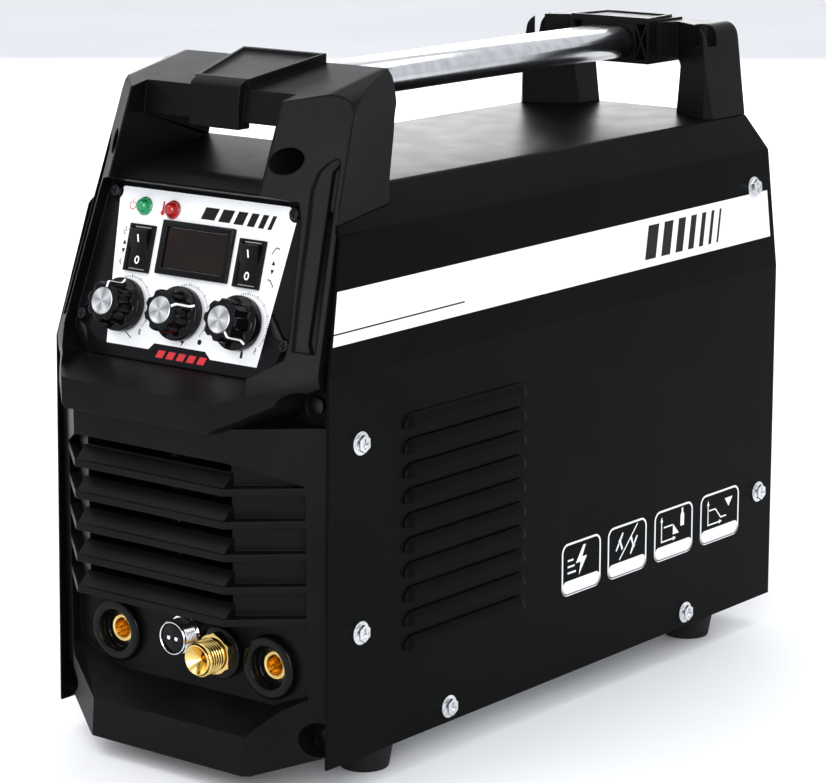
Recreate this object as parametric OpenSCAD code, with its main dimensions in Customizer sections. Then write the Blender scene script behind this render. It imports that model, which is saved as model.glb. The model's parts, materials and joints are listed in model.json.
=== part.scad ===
// TIG welding machine: folded sheet cover, moulded front and carrying handle, controls,
// output sockets, cooling fan, gas circuit and power electronics.
// Millimetres, +Z up. The front faces -Y. z = 0 is the floor under the feet.

/* [Case] */
// Width across the cover's sides
cover_w = 160; // [150:1:180]
// Length of the cover, front edge to rear edge
cover_l = 353.2; // [340:0.2:380]
// Height of the cover, bottom edge to top
cover_h = 245.5; // [240:0.5:250]
// Thickness of the cover's sheet
sheet_t = 1.2; // [1:0.1:1.5]
// Height of the rubber feet
foot_h = 15; // [10:1:20]

/* [Front] */
// How far the brow stands in front of the middle of the case
brow_y = 207.5; // [200:0.5:210]
// Lean of the control plate from upright, in degrees
plate_tilt = 16.4; // [16:0.1:18.5]
// Spacing of the three knobs
knob_pitch = 34; // [30:0.1:36]
// Half the distance between the two weld current sockets
socket_x = 45.5; // [43:0.1:48]
// Number of fins across the front grille
fin_count = 5; // [3:1:5]

/* [Handle] */
// Width of the flat-sided handle tube
tube_w = 30; // [26:0.5:32]
// Height of the handle tube
tube_h = 15.5; // [14:0.5:17]

/* [Sides] */
// Number of pressed louvres in each side
louvre_count = 10; // [4:1:10]
// Vertical spacing of the louvres
louvre_pitch = 11.1; // [10:0.1:12]

/* [Fan] */
// Outer size of the square fan frame
fan_size = 120; // [92:1:120]
// Number of fan blades
blade_count = 7; // [5:1:9]

/* [Hidden] */

$fn = 48;
half_w = cover_w / 2;
half_l = cover_l / 2;
fit = 0.3;              // gap between mouldings and sheet
big = 400;              // size of a cutting block

// Cover section: upright side, inward taper, top chamfer, flat top
bend_z = 170.7;         // where the side starts to taper
chamfer_z = 229.2;      // where the chamfer starts
taper_in = 6.4;         // how far the taper leans in
chamfer_in = 14.3;      // how far the chamfer leans in
top_half = half_w - taper_in - chamfer_in;

// The cover's front edge is upright to this height, then leans back
edge_z = 159;
edge_lean = 0.272;      // run back for each unit of rise
edge_top_y = -half_l + (cover_h - edge_z) * edge_lean;

// Control plate plane: its top edge, and places measured down the slope from there
plate_y = -160.2;
plate_z = 240;
plate_t = 1.6;
plate_len = 75.5;
led_s = 8.4;
led_x = [-33.7, -17];
display_x = 0.5;
display_s = 25;
switch_s = 27;
switch_x = 32;
knob_s = 52.8;
plate_screw_at = [[-52, 3.2], [52, 3.2], [-59, 59.2], [59, 59.2]];

// Front moulding
wall = 2.5;
socket_face_y = -172;   // wall that carries the sockets
socket_z = 39;
gas_at = [17, 40.5];
remote_at = [-4.5, 44.5];
rim_x = 69.7;           // inner edge of the rim round the grille and sockets
grille_front_y = -200.5;
grille_half = 43.5;     // half width of the grille's front facet
grille_bottom = 63;
fin_t = 3.2;
fin_pitch = 14.35;
pocket_depth = 6.5;
fascia_screw_at = [[70, 158], [73.5, 12]];
handle_bolt_at = [49.6, 259.5];
bolt_pocket_r = 5.5;
grip_tilt = 11.9;       // slope of the top of the handle

// Handle tube
tube_z = 281.3;
tube_front_y = -126;
tube_rear_y = 158;
bracket_front_y = 141.4;
rib_depth = 10;         // of the hollows beside the tube

// Screws in the cover's sides: distance along the case and height
side_screw_at = [[-153.5, 140.3], [-154, 56.5], [-92, 7.5], [98.3, 7.5], [163, 56.2]];
// One more near the rear, on the tapered part of each side
taper_screw_at = [160, 212];
taper_angle = atan(taper_in / (chamfer_z - bend_z));
feet_at = [[-60, -127], [60, -127], [-60, 131], [60, 131]];

// Rear panel
panel_y = half_l - 3;
fan_z = 84;
fan_t = 25;
fan_bore = fan_size * 0.475;
fan_screw = fan_size * 0.4375;
main_switch_at = [36, 190];
gas_inlet_at = [-60, 168];
gland_at = [-12, 186];
earth_at = [68.5, 22];
pin_r = 1;
run_gap = 0.05;

module lift() {
    translate([0, 0, foot_h]) children();
}

module both_sides() {
    children();
    mirror([1, 0, 0]) children();
}

// A frame on the control plate: x across, y up the slope, z out of the plate
module on_plate(x, s) {
    translate([0, plate_y, plate_z]) rotate([90 - plate_tilt, 0, 0]) translate([x, -s, 0]) children();
}

// Cylinder along Y from y0 to y1
module rod_y(r, y0, y1, x = 0, z = 0) {
    translate([x, y1, z]) rotate([90, 0, 0]) cylinder(r = r, h = y1 - y0);
}

// Outline in X and Z pushed along Y from y0 to y1
module push_y(y0, y1) {
    translate([0, y1, 0]) rotate([90, 0, 0]) linear_extrude(y1 - y0) children();
}

// Outline in Y and Z pushed along X, centred
module push_x(width) {
    translate([-width / 2, 0, 0]) rotate([90, 0, 90]) linear_extrude(width) children();
}

// Solid through a stack of rings that all have the same number of points
module loft(rings) {
    n = len(rings[0]);
    points = [for (ring = rings) each ring];
    last = (len(rings) - 1) * n;
    faces = concat(
        [[for (i = [0:n - 1]) i]],
        [for (k = [0:len(rings) - 2]) for (i = [0:n - 1])
            each [[k * n + i, (k + 1) * n + i, (k + 1) * n + (i + 1) % n],
                  [k * n + i, (k + 1) * n + (i + 1) % n, k * n + (i + 1) % n]]],
        [[for (i = [n - 1:-1:0]) last + i]]);
    polyhedron(points, faces);
}

// Ring at height z from the right half of a plan outline, front to rear
function plan_ring(half, z) = concat(
    [for (p = half) [p[0], p[1], z]],
    [for (i = [len(half) - 1:-1:0]) [-half[i][0], half[i][1], z]]);

function cover_half(inset) = [
    [half_w - inset, 0], [half_w - inset, bend_z], [half_w - taper_in - inset, chamfer_z - inset * 0.3],
    [top_half - inset * 0.5, cover_h - inset]];
function mirrored(half) = concat(half, [for (i = [len(half) - 1:-1:0]) [-half[i][0], half[i][1]]]);

module cover_section(inset) {
    polygon(mirrored(cover_half(inset)));
}

// Everything behind the cover's front edge, moved forward by a gap
module behind_front_edge(gap) {
    push_x(big) polygon([[-half_l - gap, -20], [-half_l - gap, edge_z], [edge_top_y - gap, cover_h],
        [edge_top_y - gap + 10, cover_h + 37], [half_l, cover_h + 37], [half_l, -20]]);
}

module screw_y(x, z, y_head, shank_r, length, head_r) {
    rod_y(shank_r, y_head, y_head + length, x, z);
    rod_y(head_r, y_head - 2, y_head, x, z);
}

// ---------------------------------------------------------------- case

louvre_y = [-124, -35];
louvre_z0 = 43;

module louvre() {
    rise = 2.6;
    translate([half_w - sheet_t - 0.01, louvre_y[1], 0]) rotate([90, 0, 0])
        linear_extrude(louvre_y[1] - louvre_y[0])
            polygon([[0, 4.5], [sheet_t, 4.5], [sheet_t + rise, -1.2], [sheet_t + rise, -1.8], [0, -1.8]]);
}

module louvre_hollow() {
    translate([half_w - sheet_t - 1, louvre_y[1] - 1, 0]) rotate([90, 0, 0])
        linear_extrude(louvre_y[1] - louvre_y[0] - 2)
            polygon([[0, 3.2], [1.6, 3.2], [sheet_t + 2.6, -0.9], [sheet_t + 2.6, -3], [0, -3]]);
}

module cover() {
    color([0.07, 0.07, 0.075]) lift() difference() {
        union() {
            intersection() {
                difference() {
                    push_y(-half_l, half_l) cover_section(0);
                    push_y(-big, big) translate([0, -0.01]) cover_section(sheet_t);
                }
                behind_front_edge(0);
            }
            both_sides() for (k = [0:louvre_count - 1])
                translate([0, 0, louvre_z0 + k * louvre_pitch]) louvre();
        }
        both_sides() for (k = [0:louvre_count - 1])
            translate([0, 0, louvre_z0 + k * louvre_pitch]) louvre_hollow();
        both_sides() for (at = side_screw_at)
            translate([half_w - 5, at[0], at[1]]) rotate([0, 90, 0]) cylinder(r = 2.2, h = 10);
        both_sides() on_taper(taper_screw_at[0], taper_screw_at[1]) translate([0, 0, -5])
            cylinder(r = 2.2, h = 10);
        both_sides() translate([bracket_screw_x, bracket_screw_y, cover_h - 5]) cylinder(r = 2.6, h = 10);
    }
}

pan_front = -159;
pan_rear = panel_y - 0.2;
pan_x = half_w - sheet_t - 0.2;

module base_pan() {
    flange = 18;
    t = 1.5;
    color([0.62, 0.63, 0.65]) lift() difference() {
        union() {
            translate([-pan_x, pan_front, 0]) cube([2 * pan_x, pan_rear - pan_front, t]);
            both_sides() translate([pan_x - t, -140, 0]) cube([t, 300, flange]);
        }
        for (at = feet_at) translate([at[0], at[1], -1]) cylinder(r = 2.6, h = 5);
        both_sides() for (i = [2:3])
            translate([pan_x - 5, side_screw_at[i][0], side_screw_at[i][1]]) rotate([0, 90, 0])
                cylinder(r = 1.65, h = 10);
    }
}

module rubber_feet() {
    color([0.05, 0.05, 0.05]) for (at = feet_at) translate([at[0], at[1], 0]) difference() {
        cylinder(r1 = 11, r2 = 13.7, h = foot_h - 0.05);
        translate([0, 0, -1]) cylinder(r = 5.2, h = 8);
        cylinder(r = 2.6, h = foot_h + 1);
    }
}

module foot_screws() {
    color([0.75, 0.76, 0.78]) for (at = feet_at) translate([at[0], at[1], 0]) {
        translate([0, 0, 4]) cylinder(r = 4.4, h = 3);
        translate([0, 0, 7]) cylinder(r = 2.45, h = foot_h - 7 + 6);
        translate([0, 0, foot_h + 1.55]) cylinder(r = 4.6, h = 4, $fn = 6);
    }
}

// Hexagon flange screw along +Z, with a cross recess, its flange's underside at z = 0
module case_screw(length) {
    difference() {
        union() {
            cylinder(r = 5.2, h = 0.9);
            translate([0, 0, 0.8]) cylinder(r = 3.9, h = 2.3, $fn = 6);
            translate([0, 0, -length]) cylinder(r = 1.6, h = length + 0.5);
        }
        for (a = [0, 90]) rotate([0, 0, a]) translate([-2.4, -0.55, 1.9]) cube([4.8, 1.1, 3]);
    }
}

// Place on the tapered part of a side, z outwards
module on_taper(y, z) {
    run = (z - bend_z) * tan(taper_angle);
    translate([half_w - run, y, z]) rotate([0, 90 - taper_angle, 0]) children();
}

module case_screws() {
    color([0.8, 0.82, 0.84]) lift() {
        both_sides() for (at = side_screw_at)
            translate([half_w + 0.02, at[0], at[1]]) rotate([0, 90, 0]) case_screw(9);
        both_sides() on_taper(taper_screw_at[0], taper_screw_at[1]) translate([0, 0, 0.02]) case_screw(7);
        for (x = [-1, 1]) for (z = [-1, 1]) translate([x * fan_screw, guard_y + 2.45, fan_z + z * fan_screw])
            rotate([-90, 0, 0]) case_screw(26);
    }
}

// ---------------------------------------------------------------- front moulding

// Plan of the lower front: front facet corner, diagonal facet's outer end, side, rear
module lower_body() {
    rear = pan_front - 1;
    side = half_w - sheet_t - fit;
    loft([
        plan_ring([[44.7, -192.1], [47.6, -190], [49, -172], [49, rear]], -6),
        plan_ring([[44.7, -191.3], [70, -177.4], [side - 1, -173], [side - 1, rear]], 4.5),
        plan_ring([[44.7, -190.7], [72.6, -175.3], [side, -172], [side, rear]], 11.3),
        plan_ring([[grille_half, grille_front_y], [73.2, -174.6], [side, -172], [side, rear]], grille_bottom),
        plan_ring([[grille_half, grille_front_y], [73.2, -174.6], [side, -172], [side, rear]], 149.4)]);
}

module socket_recess() {
    edge = -big;
    lip = [[rim_x, grille_bottom], [rim_x, 26.2], [44.7, 11.3]];
    deep = [[rim_x, grille_bottom], [rim_x, 31], [46, 21.5]];
    function y_ring(half, y) = concat([for (p = half) [p[0], y, p[1]]],
        [for (i = [len(half) - 1:-1:0]) [-half[i][0], y, half[i][1]]]);
    loft([y_ring(lip, edge), y_ring(lip, -190.8), y_ring(deep, socket_face_y)]);
}

// Plan of the grille, pushed in by a depth
module grille_plan(depth) {
    polygon(mirrored([[grille_half - depth * 0.35, grille_front_y + depth], [rim_x, -177.1 + depth * 0.8],
        [rim_x, -165]]));
}

// The recess between one fin and the next, in front of the recessed wall
module grille_gap(z0, z1) {
    translate([0, 0, z0]) linear_extrude(z1 - z0) difference() {
        polygon([[-rim_x, -165], [-rim_x, -250], [rim_x, -250], [rim_x, -165]]);
        grille_plan(pocket_depth);
    }
}

fin_low = [for (k = [0:fin_count - 1]) grille_bottom + k * fin_pitch];

module grille_cuts() {
    for (k = [0:fin_count - 1]) {
        z0 = fin_low[k] + fin_t;
        z1 = k < fin_count - 1 ? fin_low[k + 1] : z0 + 11.5;
        difference() {
            grille_gap(z0, z1);
            // the top gap closes to a point towards the rim
            if (k == fin_count - 1) both_sides() push_y(-big, -100)
                polygon([[grille_half, z1], [rim_x + 1, z0], [rim_x + 1, z1 + 1], [grille_half, z1 + 1]]);
        }
        // air slot under the fin above
        translate([-grille_half + 1.3, grille_front_y + 1, z1 - 5.4]) cube([2 * grille_half - 2.6, 40, 4.6]);
    }
}

// Sloped blades below the air slots
module grille_blades() {
    for (k = [0:fin_count - 1])
        translate([0, 0, fin_low[k] + fin_t]) push_x(2 * grille_half - 0.6) polygon([[grille_front_y + 0.4, -0.5],
            [grille_front_y + pocket_depth, 5.6], [grille_front_y + pocket_depth + 1, 5.6],
            [grille_front_y + pocket_depth + 1, -0.5]]);
}

// The leaning face beside the controls: its outer edge at height z
head_half = [[161.7, 77.2], [241.5, 70], [264, 69], [278, 67.5], [299, 65]];
function head_x(z) = lookup(z, head_half);
facet_at = [49.4, -164.7, 259.5];
facet_slope = 0.885;
facet_lean = 0.404;
function facet_y(x, z) = facet_at[1] + facet_slope * (x - facet_at[0]) + facet_lean * (z - facet_at[2]);

module head_body() {
    rear = -100;
    rings = [[148.2, grille_half, -brow_y, 78.4, -176, 1.5], [161.7, grille_half, -brow_y, 77.2, -175, 1.5],
        for (at = [[172, 1.5], [241.5, 5], [278, 8], [299, 8]])
            [at[0], 44, facet_y(44, at[0]), head_x(at[0]), facet_y(head_x(at[0]), at[0]), at[1]]];
    intersection() {
        loft([for (r = rings) plan_ring([[r[1], r[2]], [r[3], r[4]], [r[3] - r[5], rear]], r[0])]);
        // rounded shoulders that follow the slope of the top
        translate([0, -147, 286.4]) rotate([grip_tilt, 0, 0]) push_y(-90, 60) head_outline();
        // rear face leans back and turns over into the top
        push_x(big) polygon([[-big, 100], [-117, 100], [-117, 238], [-114.8, 247], [-108.5, 263],
            [-103.4, 279], [-103.6, 285.5], [-105.2, 290.8], [-108.8, 294.6], [-113, 299], [-big, 299]]);
    }
}

module head_outline() {
    r = 11;
    hull() both_sides() {
        translate([67.5 - r, -r]) circle(r, $fn = 32);
        translate([0, -170]) square([84, 1]);
    }
}

// Overhang below the brow on each side
module brow_undercut() {
    both_sides() intersection() {
        translate([grille_half, -brow_y, 149.6]) rotate([0, 0, -16.5]) rotate([0, 142, 0])
            translate([-100, -100, 0]) cube([200, 200, 120]);
        translate([grille_half - 12, -big, 100]) cube([80, big - 168.5, 90]);
    }
}

bay_half = [[56.6, -1.2], [58.8, 6], [64.2, 56], [64.2, 65], [53.5, plate_len + 0.4]];
plate_half = [[54.2, 0], [56.2, 6], [61.8, 56], [61.8, 64.6], [52, plate_len]];

module slope_outline(half, grow) {
    polygon([for (p = mirrored(half)) [p[0] + sign(p[0]) * grow, -p[1]]]);
}

module control_bay() {
    on_plate(0, 0) translate([0, 0, -plate_t - 0.05]) linear_extrude(60) slope_outline(bay_half, 0);
    // slope from the plate's lower edge to the brow
    push_x(2 * bay_half[4][0]) polygon([[-182.9, 167.9], [-brow_y, 161.7], [-big, 161.7], [-big, 230],
        [-190, 230]]);
    // window behind the plate
    on_plate(0, 0) translate([0, 0, -60]) linear_extrude(62) difference() {
        slope_outline([[48, 4.6], [52, 12], [55, 50], [55, 61], [48, 70]], 0);
        for (at = plate_screw_at) translate([at[0], -at[1]]) circle(5);
    }
}

// Hand hole, its sloped sill and the scoop in front of it
module hand_hole() {
    half = 43.2;
    push_x(2 * half) polygon([[-101, 258.4], [-112, 258], [-158, 250], [-164, 248], [-168.5, 244.8],
        [-big, 244.8], [-big, 271.5], [-101, 271.5]]);
    // scoop between the pillars in front of the grip
    push_x(2 * half) polygon([[-149.5, 258], [-152.5, 271], [-147.5, 300], [-big, 300], [-big, 258]]);
}

// Raised pad with a rim over the middle of the grip
module grip_pad() {
    module outline(inset) {
        polygon([[-24 + inset, -107.5 - inset], [24 - inset, -107.5 - inset], [15.5 - inset, -149 + inset],
            [-15.5 + inset, -149 + inset]]);
    }
    slope = tan(grip_tilt);
    difference() {
        intersection() {
            union() {
                translate([0, 0, 283]) linear_extrude(30) outline(0);
                translate([-14.5, -155.2, 268.5]) cube([29, 8, 24]);
            }
            push_x(80) polygon([[-100, 280], [-100, 286.4 + 47 * slope + 3.4], [-149, 290], [-153.6, 287.5],
                [-157, 268.5], [-146, 268.5], [-146, 280]]);
        }
        intersection() {
            translate([0, 0, 283]) linear_extrude(30) outline(2);
            push_x(80) polygon([[-100, 286.4 + 47 * slope + 2.2], [-148, 289.2], [-148, 320], [-100, 320]]);
        }
    }
}

// Stepped grooves in the leaning faces beside the controls, cut to a depth below the face
module groove_step(depth) {
    facet_turn = [0, acos(facet_lean / norm([facet_slope, 1, facet_lean])), -atan2(1, facet_slope)];
    intersection() {
        push_y(-big, -100) children();
        translate(facet_at) rotate(facet_turn) translate([-200, -200, -depth]) cube([400, 400, 80]);
    }
}

module side_groove() {
    both_sides() {
        groove_step(1.2) polygon([[66, 182.4], [63.8, 202.5], [61.3, 232], [59.7, 247], [60.4, 254.6],
            [62.8, 258.5], [65.5, 260.5], [66.7, 259.2], [73.5, 181]]);
        groove_step(2.8) polygon([[69.8, 185.5], [66.5, 226.3], [64.3, 254.5], [66.3, 258.6], [66.7, 258],
            [73.3, 181.6], [71.3, 181.2]]);
    }
}

module tube_section(grow) {
    hull() for (s = [-1, 1]) translate([s * (tube_w - tube_h) / 2, 0]) circle(tube_h / 2 + grow, $fn = 48);
}

module fascia_solid() {
    lower_body();
    difference() {
        head_body();
        brow_undercut();
        hand_hole();
    }
    grip_pad();
    // flanges inside the cover that take the side screws
    both_sides() translate([half_w - sheet_t - fit - 2.6, -171.5, 12]) cube([2.6, 29.5, 150]);
}

module fascia_cavity() {
    translate([-66, socket_face_y + wall, 2]) cube([132, 60, 145]);
    translate([-36, -188, 66.5]) cube([72, 40, 76]);
    translate([-60, -166, 140]) cube([120, 60, 40]);
    on_plate(0, 0) translate([-54, -60, -70]) cube([108, 62, 70 - plate_t - wall]);
}

// Room for the cover's sheet, and for what stands inside the cover behind the moulding
module cover_room() {
    intersection() {
        difference() {
            push_y(-half_l - 1, half_l) cover_section(-fit);
            push_y(-big, big) translate([0, -0.5]) cover_section(sheet_t + fit);
        }
        behind_front_edge(fit);
    }
    intersection() {
        push_y(-146, half_l) cover_section(0);
        translate([-half_w + 4, -141, -1]) cube([cover_w - 8, 300, cover_h]);
    }
}

module front_fascia() {
    color([0.1, 0.1, 0.105]) lift() {
        difference() {
            union() {
                difference() {
                    fascia_solid();
                    cover_room();
                    socket_recess();
                    grille_cuts();
                    fascia_cavity();
                }
                intersection() {
                    grille_blades();
                    translate([-grille_half, -big, 0]) cube([2 * grille_half, big, 200]);
                }
            }
            control_bay();
            side_groove();
            // sockets and fittings through the wall
            both_sides() rod_y(11.1, -190, -160, socket_x, socket_z);
            rod_y(6.1, -190, -160, gas_at[0], gas_at[1]);
            rod_y(7.1, -190, -160, remote_at[0], remote_at[1]);
            // screw pockets and pilot holes
            both_sides() for (at = fascia_screw_at) {
                rod_y(7.6, -big, -168, at[0], at[1]);
                rod_y(1.85, -170, -150, at[0], at[1]);
            }
            both_sides() {
                rod_y(bolt_pocket_r, -big, -138, handle_bolt_at[0], handle_bolt_at[1]);
                rod_y(2.6, -140, -112, handle_bolt_at[0], handle_bolt_at[1]);
            }
            both_sides() for (i = [0:1])
                translate([half_w - 12, side_screw_at[i][0], side_screw_at[i][1]]) rotate([0, 90, 0])
                    cylinder(r = 1.65, h = 14);
            // tube seat
            translate([0, 0, tube_z]) push_y(tube_front_y - 0.2, -90) tube_section(0.1);
            for (at = plate_screw_at) on_plate(at[0], at[1]) translate([0, 0, -12]) cylinder(r = 1.3, h = 12);
        }
    }
}

module fascia_screws() {
    color([0.5, 0.51, 0.52]) lift() both_sides() for (at = fascia_screw_at)
        screw_y(at[0], at[1], -168.05, 1.8, 9, 3.6);
}

module front_handle_bolts() {
    color([0.12, 0.12, 0.12]) lift() both_sides() difference() {
        union() {
            rod_y(2.5, -138.1, -114, handle_bolt_at[0], handle_bolt_at[1]);
            rod_y(4.4, -143, -138.1, handle_bolt_at[0], handle_bolt_at[1]);
        }
        translate([handle_bolt_at[0], -140.5, handle_bolt_at[1]]) rotate([90, 0, 0])
            cylinder(r = 2.3, h = 3, $fn = 6);
    }
}

// ---------------------------------------------------------------- handle

bracket_screw_x = 44;
bracket_screw_y = 166;

module bracket_front_view() {
    both_sides() {
        // leg
        hull() {
            translate([30, cover_h]) square([29, 0.5]);
            translate([34.5, 270]) square([1, 1]);
            translate([46.5, 284]) circle(7.5, $fn = 32);
            translate([36, 290]) square([2, 1.5]);
        }
        // arm with a rounded inner corner
        difference() {
            translate([-1, 268]) square([41, 23.5]);
            translate([-2, 260]) square([27, 15.5]);
            translate([24, 265.5]) circle(10, $fn = 48);
        }
    }
}

// Hollows left between two crossed ribs in one end of the box
module crossed_hollows() {
    low = 273;
    high = 290.6;
    mid = (low + high) / 2;
    difference() {
        translate([15.8, low]) square([6.8, high - low]);
        translate([0, tube_z]) tube_section(1.4);
        for (turn = [-1, 1]) translate([19.2, mid]) rotate(turn * 21) square([1.1, 40], center = true);
    }
}

module rear_bracket() {
    color([0.1, 0.1, 0.105]) lift() difference() {
        union() {
            intersection() {
                push_y(130, half_l) bracket_front_view();
                linear_extrude(400) polygon(mirrored([[23, 147], [30, 158.5], [55.5, 144], [59.2, 147.6],
                    [59.2, half_l]]));
            }
            translate([-24, bracket_front_y, 271]) cube([48, 30, 21.6]);
            // raised pad
            difference() {
                translate([0, 0, 290]) linear_extrude(3.8) polygon(mirrored([[23.5, bracket_front_y + 0.5],
                    [20, 168]]));
                translate([0, 0, 293]) linear_extrude(6) polygon(mirrored([[21.5, bracket_front_y + 2.5],
                    [18, 166]]));
            }
        }
        translate([0, 0, tube_z]) push_y(100, tube_rear_y + 0.2) tube_section(0.1);
        // hollows between the crossed ribs beside the tube
        both_sides() push_y(bracket_front_y - 1, bracket_front_y + rib_depth) crossed_hollows();
        // screw recess in the top of each leg, open at the front corner
        both_sides() translate([50.5, 152.5, 281]) cylinder(r = 5.5, h = 30);
        both_sides() translate([bracket_screw_x, bracket_screw_y, cover_h - 1]) cylinder(r = 2.1, h = 22);
    }
}

module bracket_screws() {
    color([0.75, 0.76, 0.78]) lift() both_sides() translate([bracket_screw_x, bracket_screw_y, 0]) {
        translate([0, 0, cover_h - sheet_t - 3.1]) cylinder(r = 4.2, h = 3);
        translate([0, 0, cover_h - sheet_t - 0.5]) cylinder(r = 2, h = 18);
    }
}

module handle_tube() {
    color([0.83, 0.84, 0.86]) lift() translate([0, 0, tube_z]) difference() {
        push_y(tube_front_y, tube_rear_y) tube_section(0);
        push_y(tube_front_y - 1, tube_rear_y + 1) tube_section(-1.8);
    }
}

// ---------------------------------------------------------------- control panel

module control_plate() {
    color([0.92, 0.92, 0.92]) lift() on_plate(0, 0) difference() {
        translate([0, 0, -plate_t]) linear_extrude(plate_t) slope_outline(plate_half, -0.2);
        for (at = plate_screw_at) translate([at[0], -at[1], -5]) cylinder(r = 1.7, h = 10);
        for (x = led_x) translate([x, -led_s, -5]) cylinder(r = 3.1, h = 10);
        translate([display_x - 19.3, -display_s - 10.6, -5]) cube([38.6, 21.2, 10]);
        for (x = [-switch_x, switch_x]) translate([x - 6.6, -switch_s - 9.7, -5]) cube([13.2, 19.4, 10]);
        for (x = [-knob_pitch, 0, knob_pitch]) translate([x, -knob_s, -5]) cylinder(r = 3.6, h = 10);
    }
}

module plate_screws() {
    color([0.2, 0.2, 0.2]) lift() for (at = plate_screw_at) on_plate(at[0], at[1]) difference() {
        union() {
            translate([0, 0, 0.05]) cylinder(r1 = 3, r2 = 2.4, h = 1.7);
            translate([0, 0, -9]) cylinder(r = 1.25, h = 9.1);
        }
        for (a = [0, 90]) rotate([0, 0, a]) translate([-1.6, -0.35, 0.9]) cube([3.2, 0.7, 3]);
    }
}

module led(x) {
    on_plate(x, led_s) {
        translate([0, 0, -4]) cylinder(r = 3, h = 4.5);
        translate([0, 0, 0.02]) cylinder(r = 4.1, h = 1);
        translate([0, 0, 1]) intersection() {
            sphere(r = 3.4, $fn = 40);
            cylinder(r = 4, h = 5);
        }
    }
}

module power_led() {
    color([0.1, 0.6, 0.25]) lift() led(led_x[0]);
}

module fault_led() {
    color([0.75, 0.08, 0.08]) lift() led(led_x[1]);
}

module display_bezel() {
    color([0.04, 0.04, 0.04]) lift() on_plate(display_x, display_s) difference() {
        union() {
            translate([-20.7, -11.9, 0.02]) cube([41.4, 23.8, 2.2]);
            translate([-19.1, -10.4, -12]) cube([38.2, 20.8, 12.1]);
        }
        translate([-17.6, -9, -10.5]) cube([35.2, 18, 20]);
    }
}

module display_window() {
    color([0.12, 0.08, 0.07]) lift() on_plate(display_x, display_s)
        translate([-17.5, -8.9, -1]) cube([35, 17.8, 2.2]);
}

// Rocker switch: pivot below the face, circular inner room
rocker_pivot = -1;

module rocker_room(w, r, gap) {
    translate([-w / 2 - gap, 0, rocker_pivot]) rotate([0, 90, 0]) cylinder(r = r + gap, h = w + 2 * gap);
}

module rocker_housing(w, l, rim, r) {
    difference() {
        union() {
            translate([-w / 2, -l / 2, 0.02]) cube([w, l, rim]);
            translate([-w / 2 + 1, -l / 2 + 1.2, -13]) cube([w - 2, l - 2.4, 13.1]);
        }
        rocker_room(w - 4.4, r, 0.3);
        translate([-w / 2 + 2 - 0.1, -r - 0.3, rocker_pivot]) cube([w - 3.8, 2 * r + 0.6, 20]);
        translate([-w / 2 + 0.8, 0, rocker_pivot]) rotate([0, 90, 0])
            cylinder(r = pin_r + run_gap, h = w - 1.6);
    }
}

// The rocker sits tilted with its lower half pressed in
module rocker(w, r, tilt) {
    inner = w - 4.4;
    translate([0, 0, rocker_pivot]) rotate([tilt, 0, 0]) {
        difference() {
            translate([-inner / 2, 0, 0]) rotate([0, 90, 0]) cylinder(r = r, h = inner);
            translate([-w, -2 * r, -3.5 - 2 * r]) cube([2 * w, 4 * r, 2 * r]);
            push_x(2 * w) polygon([[0, 2.4], [r + 1, 4.2], [r + 1, 20], [-r - 1, 20], [-r - 1, 4.2]]);
        }
        translate([-w / 2 + 1.2, 0, 0]) rotate([0, 90, 0]) cylinder(r = pin_r, h = w - 2.4);
    }
}

switch_w = 14.6;
switch_l = 21;
rocker_r = 9.2;

module mode_switch_body() {
    color([0.05, 0.05, 0.05]) lift() on_plate(-switch_x, switch_s)
        rocker_housing(switch_w, switch_l, 1.6, rocker_r);
}

module mode_switch_rocker() {
    color([0.08, 0.08, 0.08]) lift() on_plate(-switch_x, switch_s) rocker(switch_w, rocker_r, 10);
}

module slope_switch_body() {
    color([0.05, 0.05, 0.05]) lift() on_plate(switch_x, switch_s)
        rocker_housing(switch_w, switch_l, 1.6, rocker_r);
}

module slope_switch_rocker() {
    color([0.08, 0.08, 0.08]) lift() on_plate(switch_x, switch_s) rocker(switch_w, rocker_r, 10);
}

shaft_r = 3;

module potentiometers() {
    color([0.6, 0.6, 0.55]) lift() for (x = [-knob_pitch, 0, knob_pitch]) on_plate(x, knob_s) difference() {
        union() {
            translate([0, 0, -14]) cylinder(r = 8, h = 8.5);
            translate([0, 0, -6]) cylinder(r = 3.5, h = 8);
            translate([0, 0, 0.05]) cylinder(r = 5, h = 1.6, $fn = 6);
        }
        translate([0, 0, -12]) cylinder(r = shaft_r - 0.5 + run_gap, h = 20);
    }
}

module pot_shaft(x) {
    on_plate(x, knob_s) translate([0, 0, -11]) cylinder(r = shaft_r - 0.5, h = 21);
}

knob_r = 11.9;
knob_top = 16.2;
knob_grip_r = 9.4;
lobes = 8;

// Fluted knob: round skirt, scalloped grip and a dished face for the metal cap
module knob(x, turn) {
    on_plate(x, knob_s) rotate([0, 0, -turn]) difference() {
        union() {
            translate([0, 0, 1.9]) cylinder(r = knob_r, h = 4.6);
            translate([0, 0, 6.5]) cylinder(r1 = knob_r - 0.3, r2 = knob_grip_r, h = 1.6);
            translate([0, 0, 8]) cylinder(r = knob_grip_r, h = knob_top - 8);
        }
        for (k = [0:lobes - 1]) rotate([0, 0, (k + 0.5) * 360 / lobes])
            translate([knob_grip_r + 1.1, 0, 7.2]) cylinder(r = 2.5, h = 20);
        translate([0, 0, 1]) cylinder(r = 6, h = 1.8);
        translate([0, 0, -1]) cylinder(r = shaft_r - 0.5, h = 11.1);
        translate([0, 0, knob_top - 0.6]) cylinder(r = 6.1, h = 2);
    }
}

module knob_cap(x) {
    on_plate(x, knob_s) translate([0, 0, knob_top - 0.58]) cylinder(r = 6, h = 1.2);
}

module downslope_shaft() {
    color([0.8, 0.8, 0.8]) lift() pot_shaft(-knob_pitch);
}

module downslope_knob() {
    color([0.05, 0.05, 0.05]) lift() knob(-knob_pitch, 10);
}

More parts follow.
